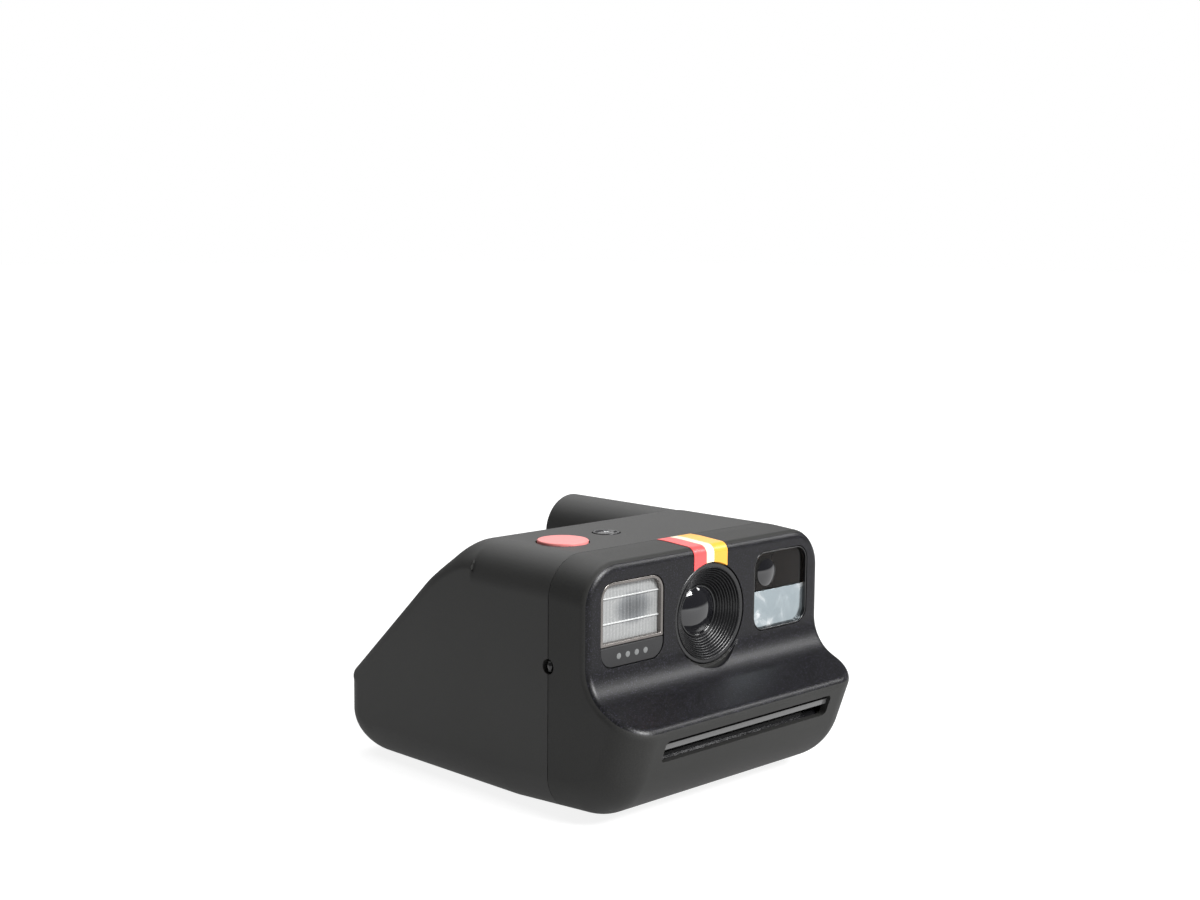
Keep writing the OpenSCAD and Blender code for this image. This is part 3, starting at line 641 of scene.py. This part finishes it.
def glass(name, colour, rough=0.02, ior=1.5, vary=0.02):
    found, tree, shader = new_material(name)
    broad = noise(tree, 60, 2)
    dark = tuple(c * (1 - vary) for c in colour)
    tree.links.new(ramp(tree, broad, [(0.3, dark), (0.7, colour)]), shader.inputs["Base Color"])
    tree.links.new(remap(tree, noise(tree, 400, 2), rough, rough + 0.02), shader.inputs["Roughness"])
    shader.inputs["Transmission Weight"].default_value = 1
    shader.inputs["IOR"].default_value = ior
    return found


SHELL = shell_material("charcoal_shell", False)
FRONT = shell_material("charcoal_and_black_shell", True)
TRIM = plastic("trim_black", (0.014, 0.014, 0.015), 0.42, 0.2)
RIBBED = plastic("ribbed_black", (0.010, 0.010, 0.011), 0.30, 0.2, specular=0.6)
GLOSS = plastic("gloss_black", (0.008, 0.008, 0.009), 0.12, 0.2, 900, 0.000004, coat=0.4)
CORAL = plastic("button_coral", (0.78, 0.24, 0.23), 0.42, 0.03, 3000, 0.00001)
BEZEL = plastic("bezel_grey", (0.030, 0.030, 0.031), 0.45, 0.06, 2600, 0.00001, specular=0.3)
DOT = plastic("sensor_grey", (0.17, 0.175, 0.175), 0.35, 0.08, 1500, 0.00001)
# Painted light: a lighter, glossier grey than the shell for the bar in the photo slot, so that it reads as
# lit.
BAR = plastic("slot_bar_painted_light", (0.10, 0.10, 0.10), 0.22, 0.05, coat=0.5)
INNER = plastic("inner_black", (0.010, 0.010, 0.010), 0.6, 0.2)
STEEL = plastic("steel", (0.55, 0.55, 0.56), 0.3, 0.06, 1200, 0.000006, metallic=1.0, stretch=(1, 8, 8))
BRASS = plastic("brass", (0.75, 0.56, 0.25), 0.3, 0.08, 1200, 0.000006, metallic=1.0)
NYLON = plastic("nylon", (0.75, 0.73, 0.66), 0.45, 0.05)
BOARD = plastic("board_green", (0.02, 0.13, 0.06), 0.4, 0.25, 1500, 0.00002)
CHIPS = plastic("chips", (0.02, 0.02, 0.022), 0.5, 0.3)
CELL = plastic("cell_blue", (0.05, 0.12, 0.30), 0.35, 0.1, 900, 0.00001)
REFLECTOR = plastic("reflector", (0.85, 0.86, 0.88), 0.28, 0.03, 700, 0.00002, metallic=0.9)
CLEAR = glass("clear_glass", (0.95, 0.96, 0.97))
LENS_GLASS = glass("lens_glass", (0.80, 0.80, 0.90))
FINDER_GLASS = glass("finder_glass", (0.55, 0.55, 0.57))
MIRROR = plastic("mirror", (0.85, 0.87, 0.88), 0.05, 0.02, 400, 0.000002, metallic=1.0)
DARK_GLASS = plastic("dark_glass", (0.004, 0.004, 0.006), 0.03, 0.3, 300, 0.0000005, specular=0.7,
                     ior=1.6, coat=0.5)
CHROME = plastic("surround_chrome", (0.20, 0.185, 0.175), 0.22, 0.15, 800, 0.000004, metallic=0.7)
KEY_BLACK = plastic("key_black", (0.03, 0.03, 0.032), 0.22, 0.15, 1500, 0.000006)
RUBBER = plastic("rubber_black", (0.012, 0.012, 0.012), 0.62, 0.25)
PRINT = plastic("print_grey", (0.55, 0.56, 0.57), 0.4, 0.05)
STRIPE_CORAL = plastic("stripe_coral", (0.82, 0.09, 0.09), 0.34, 0.03, 3000, 0.000006)
STRIPE_CREAM = plastic("stripe_cream", (0.84, 0.74, 0.55), 0.34, 0.03, 3000, 0.000006)
STRIPE_AMBER = plastic("stripe_amber", (0.90, 0.42, 0.05), 0.34, 0.03, 3000, 0.000006)
CHAMBER = plastic("chamber", (0.008, 0.0065, 0.0055), 0.35, 0.9, 300, 0.00001, specular=0.2)


def axis_part(tree, axis):
    """One object coordinate, in metres."""
    coords = tree.nodes.new("ShaderNodeTexCoord")
    split = tree.nodes.new("ShaderNodeSeparateXYZ")
    tree.links.new(coords.outputs["Object"], split.inputs["Vector"])
    return split.outputs[axis]


def math_node(tree, operation, a, b):
    node = tree.nodes.new("ShaderNodeMath")
    node.operation = operation
    for socket, value in zip(node.inputs, (a, b)):
        if isinstance(value, (int, float)):
            socket.default_value = value
        else:
            tree.links.new(value, socket)
    return node.outputs[0]


WINDOW_GAP, BEZEL_GAP = 0.15, 0.075
PANE_HALF = WINDOW_W / 2 - WINDOW_GAP
FRAME_W = 0.8
flash_low, flash_high = BEZEL_TOP + BEZEL_GAP, FLASH_Z + WINDOW_H / 2 - WINDOW_GAP
flash_mid, flash_half = (flash_low + flash_high) / 2, (flash_high - flash_low) / 2
# Heights of the two ridges, as shares of the pane's half height.
RIDGE_AT = (0.53, -0.36)
# Middle and half size of the tube's painted shadow, and half width of the painted highlight lines on the
# ridges, in metres.
SHADOW_X, SHADOW_Z, SHADOW_HALF_X, SHADOW_HALF_Z = -0.0252, 0.0494, 0.0068, 0.0042
RIDGE_HIGHLIGHT_HALF = 0.00022


def flash_pane_material():
    """Frosted flash window: pale, with the tube behind it painted as a soft grey shadow between the two
    ridges, and a painted highlight line along each ridge.
    """
    found, tree, shader = new_material("flash_pane")
    dx = math_node(tree, "SUBTRACT", axis_part(tree, "X"), SHADOW_X)
    dx = math_node(tree, "DIVIDE", dx, SHADOW_HALF_X)
    dz = math_node(tree, "SUBTRACT", axis_part(tree, "Z"), SHADOW_Z)
    dz = math_node(tree, "DIVIDE", dz, SHADOW_HALF_Z)
    far = math_node(tree, "ADD", math_node(tree, "MULTIPLY", dx, dx), math_node(tree, "MULTIPLY", dz, dz))
    streak = remap(tree, noise(tree, 500, 3, (2, 1, 0.15)), -0.13, 0.13)
    far = math_node(tree, "ADD", far, streak)
    shade = ramp(tree, far, [(0.0, (0.06, 0.064, 0.068)), (0.4, (0.13, 0.137, 0.143)),
                             (1.0, (0.27, 0.275, 0.275))])
    # Painted highlight: a pale line laid over the colour at the height of each ridge.
    lines = []
    for share in RIDGE_AT:
        height = (flash_mid + share * (flash_half - FRAME_W)) * MM
        line = math_node(tree, "COMPARE", axis_part(tree, "Z"), height)
        line.node.inputs[2].default_value = RIDGE_HIGHLIGHT_HALF
        lines.append(line)
    painted_ridge_highlight = ramp(tree, math_node(tree, "MAXIMUM", *lines), [(0, (0, 0, 0)), (1, (0.55, 0.56, 0.56))])
    tree.links.new(blend(tree, "LIGHTEN", shade, painted_ridge_highlight), shader.inputs["Base Color"])
    tree.links.new(remap(tree, noise(tree, 1800, 2), 0.2, 0.3), shader.inputs["Roughness"])
    bump(tree, shader, noise(tree, 1800, 2), 0.00001, 0.5)
    shader.inputs["Coat Weight"].default_value = 0.8
    shader.inputs["Coat Roughness"].default_value = 0.05
    return found


def painted_reflection_mirror():
    """Silvered pane with pale, drifting marks: a painted reflection."""
    found, tree, shader = new_material("painted_reflection_mirror")
    coords = tree.nodes.new("ShaderNodeTexCoord")
    warp = tree.nodes.new("ShaderNodeTexNoise")
    warp.inputs["Scale"].default_value = 110
    warp.inputs["Detail"].default_value = 5
    warp.inputs["Distortion"].default_value = 2.2
    tree.links.new(coords.outputs["Object"], warp.inputs["Vector"])
    # Painted reflection: the pale top stop of this ramp lays light swirls over the silver.
    colour = ramp(tree, warp.outputs["Fac"], [(0.42, (0.38, 0.44, 0.47)), (0.56, (0.44, 0.50, 0.53)),
                                              (0.70, (0.84, 0.88, 0.90))])
    tree.links.new(colour, shader.inputs["Base Color"])
    tree.links.new(remap(tree, warp.outputs["Fac"], 0.08, 0.3), shader.inputs["Roughness"])
    shader.inputs["Metallic"].default_value = 0.9
    return found


FLASH_PANE = flash_pane_material()
PAINTED_REFLECTION_MIRROR = painted_reflection_mirror()
FINDER_PANE = glass("finder_pane", (0.30, 0.25, 0.22), 0.01, 1.25)
SLOT_FINISH = {
    "shell_black": SHELL, "trim_black": TRIM, "gloss_black": GLOSS, "button_coral": CORAL, "stripe": CORAL,
    "bezel_grey": BEZEL, "lens_glass": LENS_GLASS, "clear_glass": CLEAR, "finder_glass": FINDER_GLASS,
    "finder_mirror": MIRROR, "mirror": MIRROR, "reflector": REFLECTOR, "steel": STEEL, "brass": BRASS,
    "nylon": NYLON, "board_green": BOARD, "chips": CHIPS, "cell_blue": CELL, "inner_black": INNER,
}

# Every CAD solid gets the finish of its slot; the bar in the photo slot gets a lighter grey than the shell,
# painted light for the light it catches.
for row in frame["record"]["subparts"]:
    data = frame["nodes"][row["node"]].data
    data.materials.clear()
    data.materials.append(BAR if row["node"] == "exit_guide_bar" else SLOT_FINISH[row["material_slot"]])

# ---- shells ----

# Cell sizes of the two shells.
FINE, COARSE = ((0.55, 0.72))
front = field_mesh("front_case", front_field, (-43.03, -53.61, -0.93), (43, -23, 62.4), FINE, notch_field)
add_mesh("front_case", front, "camera_body", FRONT, ("front_shell",))
rear = field_mesh("rear_case", rear_field, (-43.03, -25.62, -0.93), (43.2, 53.8, 62.6), COARSE)
add_mesh("rear_case", rear, "camera_body", SHELL, ("rear_shell",))

# ---- lens ----


def add_lathe(name, profile, place, body, finish, replaces=(), count=128):
    return add_mesh(name, lathe(name, profile, place, count), body, finish, replaces)


def dome_profile(radius, sag, rim, steps):
    """Profile of a spherical cap from the axis outwards; rim is the height of its edge."""
    ball = (radius ** 2 + sag ** 2) / (2 * sag)
    radii = [radius * k / steps for k in range(steps + 1)]
    return [(r, rim + sag - ball + math.sqrt(ball ** 2 - r ** 2)) for r in radii]


FACE_LENS = facing_front(0, FACE_Y, LENS_Z)
# Nine rings step down the cone of the baffle, each drawn with eight points.
RIDGES, RIDGE_STEPS = 9, 8
baffle = [(BAFFLE_R, -4.6), (BAFFLE_R, -0.4)] + arc(BAFFLE_R - 0.3, -0.4, 0.3, 0, 90, 4)[1:]
for k in range(RIDGES * RIDGE_STEPS + 1):
    t = k / (RIDGES * RIDGE_STEPS)
    crest = abs(math.sin(math.pi * RIDGES * t)) ** 0.7
    baffle.append((11.3 - 4.7 * t, -0.25 - 3.75 * t + 0.42 * crest))
baffle += [(6.45, -4.15), (LENS_R, -4.6)]
add_lathe("ribbed_baffle", baffle, FACE_LENS, "camera_body", RIBBED, ("lens_baffle",), 160)

GLASS_R, GLASS_EDGE, GLASS_SAG = LENS_R - 0.05, -4.3, 1.9
dome = dome_profile(GLASS_R, GLASS_SAG, GLASS_EDGE, 24) + [(GLASS_R, -5.4), (0, -5.4)]
add_lathe("front_lens_glass", dome, FACE_LENS, "camera_body", DARK_GLASS, ("front_lens",))
retainer = [(6.45, -4.1)] + arc(6.1, -4.05, 0.28, 0, 180, 8) + [(5.82, -4.5), (6.45, -4.5)]
add_lathe("lens_retainer", retainer, FACE_LENS, "camera_body", GLOSS)

# ---- flash ----

FLASH_FACE = facing_front(-WINDOW_X, FACE_Y, flash_mid)
TOP_R = WINDOW_R - WINDOW_GAP
mesh = frame_ring("flash_surround", (PANE_HALF, flash_half, [TOP_R, TOP_R, 0.3, 0.3]),
                  (PANE_HALF - FRAME_W, flash_half - FRAME_W, [TOP_R - FRAME_W, TOP_R - FRAME_W, 0.3, 0.3]),
                  -1.7, -0.1, 0.22, FLASH_FACE)
add_mesh("flash_surround", mesh, "camera_body", CHROME)


def ribbed_pane(name, half_u, half_v, corner, place):
    """Flash window: fine upright ribs and two level ridges on a plate with rounded upper corners."""
    rib_pitch, rib_high = 1.1, 0.10
    ridge_high, ridge_half = 0.42, 0.32
    ridge_at = [share * half_v for share in RIDGE_AT]
    depth = 1.35
    columns, rows = 190, 120
    points, faces = [], []
    for j in range(rows + 1):
        for i in range(columns + 1):
            u = half_u * (2 * i / columns - 1)
            v = half_v * (2 * j / rows - 1)
            inset_u, inset_v = abs(u) - half_u + corner, v - half_v + corner
            if inset_u > 0 and inset_v > 0:
                far = math.hypot(inset_u, inset_v)
                scale = corner / max(far, corner)
                u = math.copysign(half_u - corner + inset_u * scale, u)
                v = half_v - corner + inset_v * scale
            height = rib_high * abs(math.sin(math.pi * u / rib_pitch))
            for level in ridge_at:
                height += ridge_high * max(0, 1 - abs(v - level) / ridge_half)
            points.append(place @ Vector((u, v, height - depth)))
    w = columns + 1
    for j in range(rows):
        for i in range(columns):
            faces.append([j * w + i, j * w + i + 1, (j + 1) * w + i + 1, (j + 1) * w + i])
    rim = [i for i in range(w)] + [j * w + columns for j in range(1, rows + 1)]
    rim += [rows * w + i for i in range(columns - 1, -1, -1)] + [j * w for j in range(rows - 1, 0, -1)]
    start = len(points)
    inward = place.to_3x3() @ Vector((0, 0, -0.5))
    points += [points[k] + inward for k in rim]
    n = len(rim)
    for k in range(n):
        faces.append([rim[k], start + k, start + (k + 1) % n, rim[(k + 1) % n]])
    faces.append([start + k for k in range(n)])
    return mesh_from(name, points, faces, sharp=24)


mesh = ribbed_pane("flash_pane", PANE_HALF - FRAME_W - 0.02, flash_half - FRAME_W - 0.02,
                   TOP_R - FRAME_W, FLASH_FACE)
add_mesh("flash_pane", mesh, "camera_body", FLASH_PANE, ("flash_lens",))

bezel_low = FLASH_Z - WINDOW_H / 2 + WINDOW_GAP
bezel_half = (BEZEL_TOP - BEZEL_GAP - bezel_low) / 2
mesh = plate("sensor_bezel", PANE_HALF, bezel_half, [0.2, 0.2, TOP_R, TOP_R], -2.0, -0.1, 0.2,
             facing_front(-WINDOW_X, FACE_Y, bezel_low + bezel_half))
add_mesh("sensor_bezel", mesh, "camera_body", BEZEL, ("flash_bezel",))
DOT_PITCH, DOT_Z = 2.95, 39.0
spot = [(0, 0.03), (0.62, 0.03), (0.74, -0.01), (0.78, -0.12), (0.78, -0.6), (0, -0.6)]
for k in range(4):
    dot_face = facing_front(-WINDOW_X + DOT_PITCH * (k - 1.5), FACE_Y + 0.1, DOT_Z)
    add_lathe(f"sensor_dot_{k + 1}", spot, dot_face, "camera_body", DOT, count=32)

# ---- viewfinder ----

FINDER_FACE = facing_front(WINDOW_X, FACE_Y, FINDER_Z)
FINDER_H = WINDOW_H / 2 - WINDOW_GAP
FINDER_BACK, CHAMBER_FLOOR = -0.9, -2.4
FINDER_WALL, PANE_INSET = 0.35, 0.37
mesh = frame_ring("finder_wall", (PANE_HALF, FINDER_H, [TOP_R] * 4),
                  (PANE_HALF - FINDER_WALL, FINDER_H - FINDER_WALL, [TOP_R - FINDER_WALL] * 4),
                  CHAMBER_FLOOR, -0.08, 0.12, FINDER_FACE)
add_mesh("finder_wall", mesh, "camera_body", GLOSS)
half = (FINDER_H - FINDER_WALL) / 2
upper = FINDER_FACE @ Matrix.Translation((0, half + 0.05, FINDER_BACK))
lower = FINDER_FACE @ Matrix.Translation((0, -half - 0.05, FINDER_BACK))
corner = TOP_R - 0.4
mesh = plate("finder_glass", PANE_HALF - PANE_INSET, half - 0.06, [corner, corner, 0.1, 0.1],
             -0.5, 0, 0.06, upper)
add_mesh("finder_glass", mesh, "camera_body", FINDER_PANE, ("viewfinder_window",))
mesh = plate("finder_mirror", PANE_HALF - PANE_INSET, half - 0.06, [0.1, 0.1, corner, corner],
             -0.8, 0, 0.06, lower)
add_mesh("finder_mirror", mesh, "camera_body", PAINTED_REFLECTION_MIRROR, ("viewfinder_mirror",))
chamber = plate("finder_chamber", PANE_HALF - 0.4, half, [3.4, 3.4, 0.1, 0.1], -0.6, 0, 0.1,
                FINDER_FACE @ Matrix.Translation((0, half + 0.05, CHAMBER_FLOOR)))
add_mesh("finder_chamber", chamber, "camera_body", CHAMBER)

OBJECTIVE_R, OBJECTIVE_SAG = 3.4, 0.8
objective = dome_profile(OBJECTIVE_R, OBJECTIVE_SAG, 0, 16) + [(OBJECTIVE_R, -0.3), (0, -0.3)]
add_lathe("finder_objective", objective, FINDER_FACE @ Matrix.Translation((-4.6, 4.4, FINDER_BACK)),
          "camera_body", DARK_GLASS, count=64)

# ---- buttons ----


def button_profile(r, proud, crown, edge, low=-2.6):
    """Disc with a rounded rim and a slightly crowned top."""
    rim = proud - crown
    points = [(0, low), (r, low), (r, rim - edge)]
    points += [(r - edge + edge * math.cos(t), rim - edge + edge * math.sin(t))
               for t in np.radians(np.linspace(15, 90, 6))]
    inner = r - edge
    points += [(inner * (1 - k / 6), proud - crown * (1 - k / 6) ** 2) for k in range(1, 7)]
    return points


SHUTTER_TOP = upright(SHUTTER[0], SHUTTER[1], TOP)
FLASH_TOP = upright(FLASH_BUTTON[0], FLASH_BUTTON[1], TOP)
add_lathe("shutter_cap", button_profile(SHUTTER[2], 0.75, 0.12, 0.35), SHUTTER_TOP,
          "shutter_button", CORAL, ("shutter_button",))
dish = [(0, -2.6), (3.35, -2.6), (3.35, 0.05)] + arc(3.2, 0.05, 0.15, 0, 90, 4)[1:]
dish += [(2.9, 0.17), (2.55, -0.12), (2.4, -0.2), (2.0, -0.02), (1.4, 0.12), (0.7, 0.19), (0, 0.21)]
add_lathe("flash_key", dish, FLASH_TOP, "flash_button", KEY_BLACK, ("flash_button",))
add_lathe("power_key", dish, on_slope(POWER_X), "power_button", KEY_BLACK, ("power_button",))


def flat_symbol(name, outline, place, low, high, body, finish):
    """Raised sign with straight sides from height low to high."""
    n = len(outline)
    points = [place @ Vector((u, v, h)) for h in (low, high) for u, v in outline]
    faces = [list(range(n))[::-1], list(range(n, 2 * n))]
    faces += [[k, (k + 1) % n, n + (k + 1) % n, n + k] for k in range(n)]
    return add_mesh(name, mesh_from(name, points, faces, smooth=False), body, finish)


BOLT = [(0.35, 1.25), (-0.75, -0.15), (-0.1, -0.15), (-0.35, -1.25), (0.75, 0.15), (0.1, 0.15)]
flat_symbol("flash_mark", BOLT, FLASH_TOP, 0.1, 0.24, "flash_button", PRINT)
power_bar = [(-0.12, 0.1), (0.12, 0.1), (0.12, 1.2), (-0.12, 1.2)]
flat_symbol("power_bar", power_bar, on_slope(POWER_X), 0.05, 0.24, "power_button", PRINT)
open_ring = [(1.05 * math.cos(t), 1.05 * math.sin(t)) for t in np.radians(np.linspace(125, 415, 30))]
open_ring += [(0.82 * math.cos(t), 0.82 * math.sin(t)) for t in np.radians(np.linspace(415, 125, 30))]
flat_symbol("power_ring", open_ring, on_slope(POWER_X), 0.05, 0.24, "power_button", PRINT)

# ---- accent stripe ----


def stripe_path():
    """Side view of the case from the seam over the rim: points and outward directions, down to the face."""
    ny, nz, d = CREST
    path = [((SEAM_Y - 0.15, TOP), (0, 1)), ((-27.5, TOP), (0, 1))]
    cy = FACE_Y + RIM_R
    cz = (d - RIM_R - ny * cy) / nz
    start = math.degrees(math.atan2(nz, ny))
    path.append(((-28.6, (d + 28.6 * ny) / nz), (ny, nz)))
    for t in np.radians(np.linspace(start, 180, 12)):
        path.append(((cy + RIM_R * math.cos(t), cz + RIM_R * math.sin(t)), (math.cos(t), math.sin(t))))
    return path


def stripe_band(name, x0, x1, finish, thick=0.16, edge=0.1):
    """One band of the stripe, laid along the path and then down the face to the lens baffle."""
    path = stripe_path()
    across, down = 8, 8
    profile = [(x0, -0.3), (x0, thick - edge)]
    profile += [(x0 + (x1 - x0) * k / across, thick) for k in range(across + 1)]
    profile += [(x1, thick - edge), (x1, -0.3)]
    profile[2] = (x0 + edge * 0.6, thick)
    profile[-3] = (x1 - edge * 0.6, thick)
    points, faces = [], []
    rows = len(path) + down
    w = len(profile)
    for x, h in profile:
        z_end = LENS_Z + math.sqrt((BAFFLE_R + 0.25) ** 2 - min(x * x, BAFFLE_R ** 2))
        (last_y, last_z), _ = path[-1]
        column = [Vector((x, y + ny * h, z + nz * h)) for (y, z), (ny, nz) in path]
        column += [Vector((x, last_y - h, last_z + (z_end - last_z) * k / down))
                   for k in range(1, down + 1)]
        points += column
    for i in range(w):
        for j in range(rows - 1):
            k = (i + 1) % w
            faces.append([i * rows + j, i * rows + j + 1, k * rows + j + 1, k * rows + j])
    faces.append([i * rows for i in range(w)])
    faces.append([i * rows + rows - 1 for i in range(w)][::-1])
    return add_mesh(name, mesh_from(name, points, faces), "camera_body", finish)


STRIPE = (("stripe_coral", -6.0, -1.6, STRIPE_CORAL), ("stripe_cream", -1.6, 1.2, STRIPE_CREAM),
          ("stripe_amber", 1.2, 6.0, STRIPE_AMBER))
for band in STRIPE:
    piece = stripe_band(*band)
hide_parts("accent_stripe")

# ---- eyepiece, strap lugs, hinge ----

cup = [(8.2, 0.0), (8.2, 0.55)] + arc(7.8, 0.6, 0.4, 0, 90, 5) + arc(6.2, 0.6, 0.4, 90, 180, 5)
cup += [(5.8, 0.0), (5.8, -0.9), (6.0, -0.9), (6.0, 0.0)]
barrel_back = Matrix.Translation((BARREL_X, BARREL_END, BARREL_Z))
barrel_back = barrel_back @ Matrix.Rotation(math.radians(-90), 4, "X")
add_lathe("eyepiece_cup", cup, barrel_back, "camera_body", RUBBER, ("eyepiece_ring",))


def prism_x(name, outline, spans):
    """Side outline (y, z) drawn out along X over each span."""
    points, faces = [], []
    n = len(outline)
    for x0, x1 in spans:
        start = len(points)
        points += [Vector((x, y, z)) for x in (x0, x1) for y, z in outline]
        faces.append([start + k for k in range(n)][::-1])
        faces.append([start + n + k for k in range(n)])
        for k in range(n):
            j = (k + 1) % n
            faces.append([start + k, start + j, start + n + j, start + n + k])
    return mesh_from(name, points, faces)


LUG_BAR_HALF = 1.2
for side_name, sign in (("left", -1), ("right", 1)):
    spindle = [(0, -LUG_BAR_HALF)]
    spindle += [(0.6 + 0.35 * math.cos(math.pi / 2 * t), LUG_BAR_HALF * t) for t in np.linspace(-1, 1, 13)]
    spindle += [(0, LUG_BAR_HALF)]
    add_lathe("lug_bar_" + side_name, spindle, upright(sign * (HALF_W - 1.05), SEAM_Y, LUG_Z),
              "camera_body", GLOSS, count=32)

KNUCKLES = [(-31.6, -28.4), (-15.6, -6.4), (6.4, 15.6), (28.4, 31.6)]
PIN_Y, KNUCKLE_R = 43, 1.6
foot = [(46.4, 0.9), (46.4, 3.2), (PIN_Y, 3.2)]
eye = [(PIN_Y + KNUCKLE_R * math.cos(t), KNUCKLE_R + KNUCKLE_R * math.sin(t))
       for t in np.radians(np.linspace(90, 334, 26))]
mesh = prism_x("hinge_knuckles", foot + eye[1:], KNUCKLES)
add_mesh("hinge_knuckles", mesh, "camera_body", SHELL)

# ---- camera, lights, floor ----

# Viewpoint of the photograph, fitted to its edges: angles, then distance and shift in millimetres.
AZ, EL, ROLL = math.radians(-44.85), math.radians(7.0), math.radians(0.45)
CAM_DISTANCE, CAM_RIGHT, CAM_UP, CAM_TARGET_Z = 452.2, -0.14, 50.27, 30.0
FOCAL_LENGTH = 52.71
back = Vector((math.sin(AZ) * math.cos(EL), -math.cos(AZ) * math.cos(EL), math.sin(EL)))
right = (-back).cross(Vector((0, 0, 1))).normalized()
up = right.cross(-back)
cam_x = math.cos(ROLL) * right + math.sin(ROLL) * up
cam_y = -math.sin(ROLL) * right + math.cos(ROLL) * up
place = Vector((0, 0, CAM_TARGET_Z)) + back * CAM_DISTANCE + cam_x * CAM_RIGHT + cam_y * CAM_UP
camera = bpy.data.cameras.new("camera")
camera.sensor_width = 36
camera.lens = FOCAL_LENGTH
camera.clip_start = 0.01
camera_object = add_object("camera", camera)
camera_object.matrix_world = Matrix((
    (cam_x.x, cam_y.x, back.x, place.x * MM),
    (cam_x.y, cam_y.y, back.y, place.y * MM),
    (cam_x.z, cam_y.z, back.z, place.z * MM),
    (0, 0, 0, 1)))
bpy.context.scene.camera = camera_object


def area_light(name, place, target, size_x, size_y, power):
    data = bpy.data.lights.new(name, "AREA")
    data.shape = "RECTANGLE"
    data.size, data.size_y = size_x, size_y
    data.energy = power
    lamp = add_object(name, data)
    lamp.location = place
    lamp.rotation_euler = (Vector(target) - Vector(place)).to_track_quat("-Z", "Y").to_euler()


area_light("key_softbox", (0.16, -0.88, 0.72), (0, 0, 0.03), 0.42, 0.36, 19)
area_light("top_softbox", (0.1, 0.5, 1.1), (0, 0, 0.03), 1.0, 0.7, 8)
area_light("side_softbox", (0.83, -0.52, 0.66), (0, -0.04, 0.03), 0.28, 0.28, 3.0)
area_light("back_softbox", (0.8, 0.9, 0.7), (0, 0, 0.05), 0.8, 0.8, 2.2)

WORLD_FILL = 0.14
world = bpy.data.worlds.new("studio")
world.use_nodes = True
tree = world.node_tree
background = tree.nodes["Background"]
light_path = tree.nodes.new("ShaderNodeLightPath")
strength = remap(tree, light_path.outputs["Is Camera Ray"], WORLD_FILL, 1.0, 0, 1)
tree.links.new(strength, background.inputs["Strength"])
background.inputs["Color"].default_value = (1, 1, 1, 1)
bpy.context.scene.world = world
bpy.context.scene.view_settings.view_transform = "Standard"

# The floor glows: weakly towards the object, and towards the camera so that it ends in plain white.
FLOOR_BOUNCE, GLOW_NEAR, GLOW_FAR = 0.42, 0.86, 1.0
FLOOR_HALF = 6
floor_mesh = bpy.data.meshes.new("floor")
corners = [(u * FLOOR_HALF, v * FLOOR_HALF, 0) for u, v in ((-1, -1), (1, -1), (1, 1), (-1, 1))]
floor_mesh.from_pydata(corners, [], [(0, 1, 2, 3)])
floor = add_object("floor", floor_mesh)
floor_material, floor_tree, floor_shader = new_material("floor")
paper = ramp(floor_tree, noise(floor_tree, 3, 2), [(0.3, (0.29, 0.29, 0.29)), (0.7, (0.31, 0.31, 0.31))])
floor_tree.links.new(paper, floor_shader.inputs["Base Color"])
floor_shader.inputs["Roughness"].default_value = 0.9
floor_shader.inputs["Specular IOR Level"].default_value = 0.1
floor_shader.inputs["Emission Color"].default_value = (1, 1, 1, 1)
near_far = floor_tree.nodes.new("ShaderNodeTexCoord")
reach = floor_tree.nodes.new("ShaderNodeVectorMath")
reach.operation = "LENGTH"
floor_tree.links.new(near_far.outputs["Object"], reach.inputs[0])
seen = remap(floor_tree, reach.outputs["Value"], GLOW_NEAR, GLOW_FAR, 0.1, 0.9)
floor_path = floor_tree.nodes.new("ShaderNodeLightPath")
glow = floor_tree.nodes.new("ShaderNodeMix")
glow.inputs["A"].default_value = FLOOR_BOUNCE
floor_tree.links.new(floor_path.outputs["Is Camera Ray"], glow.inputs["Factor"])
floor_tree.links.new(seen, glow.inputs["B"])
floor_tree.links.new(glow.outputs["Result"], floor_shader.inputs["Emission Strength"])
floor_mesh.materials.append(floor_material)
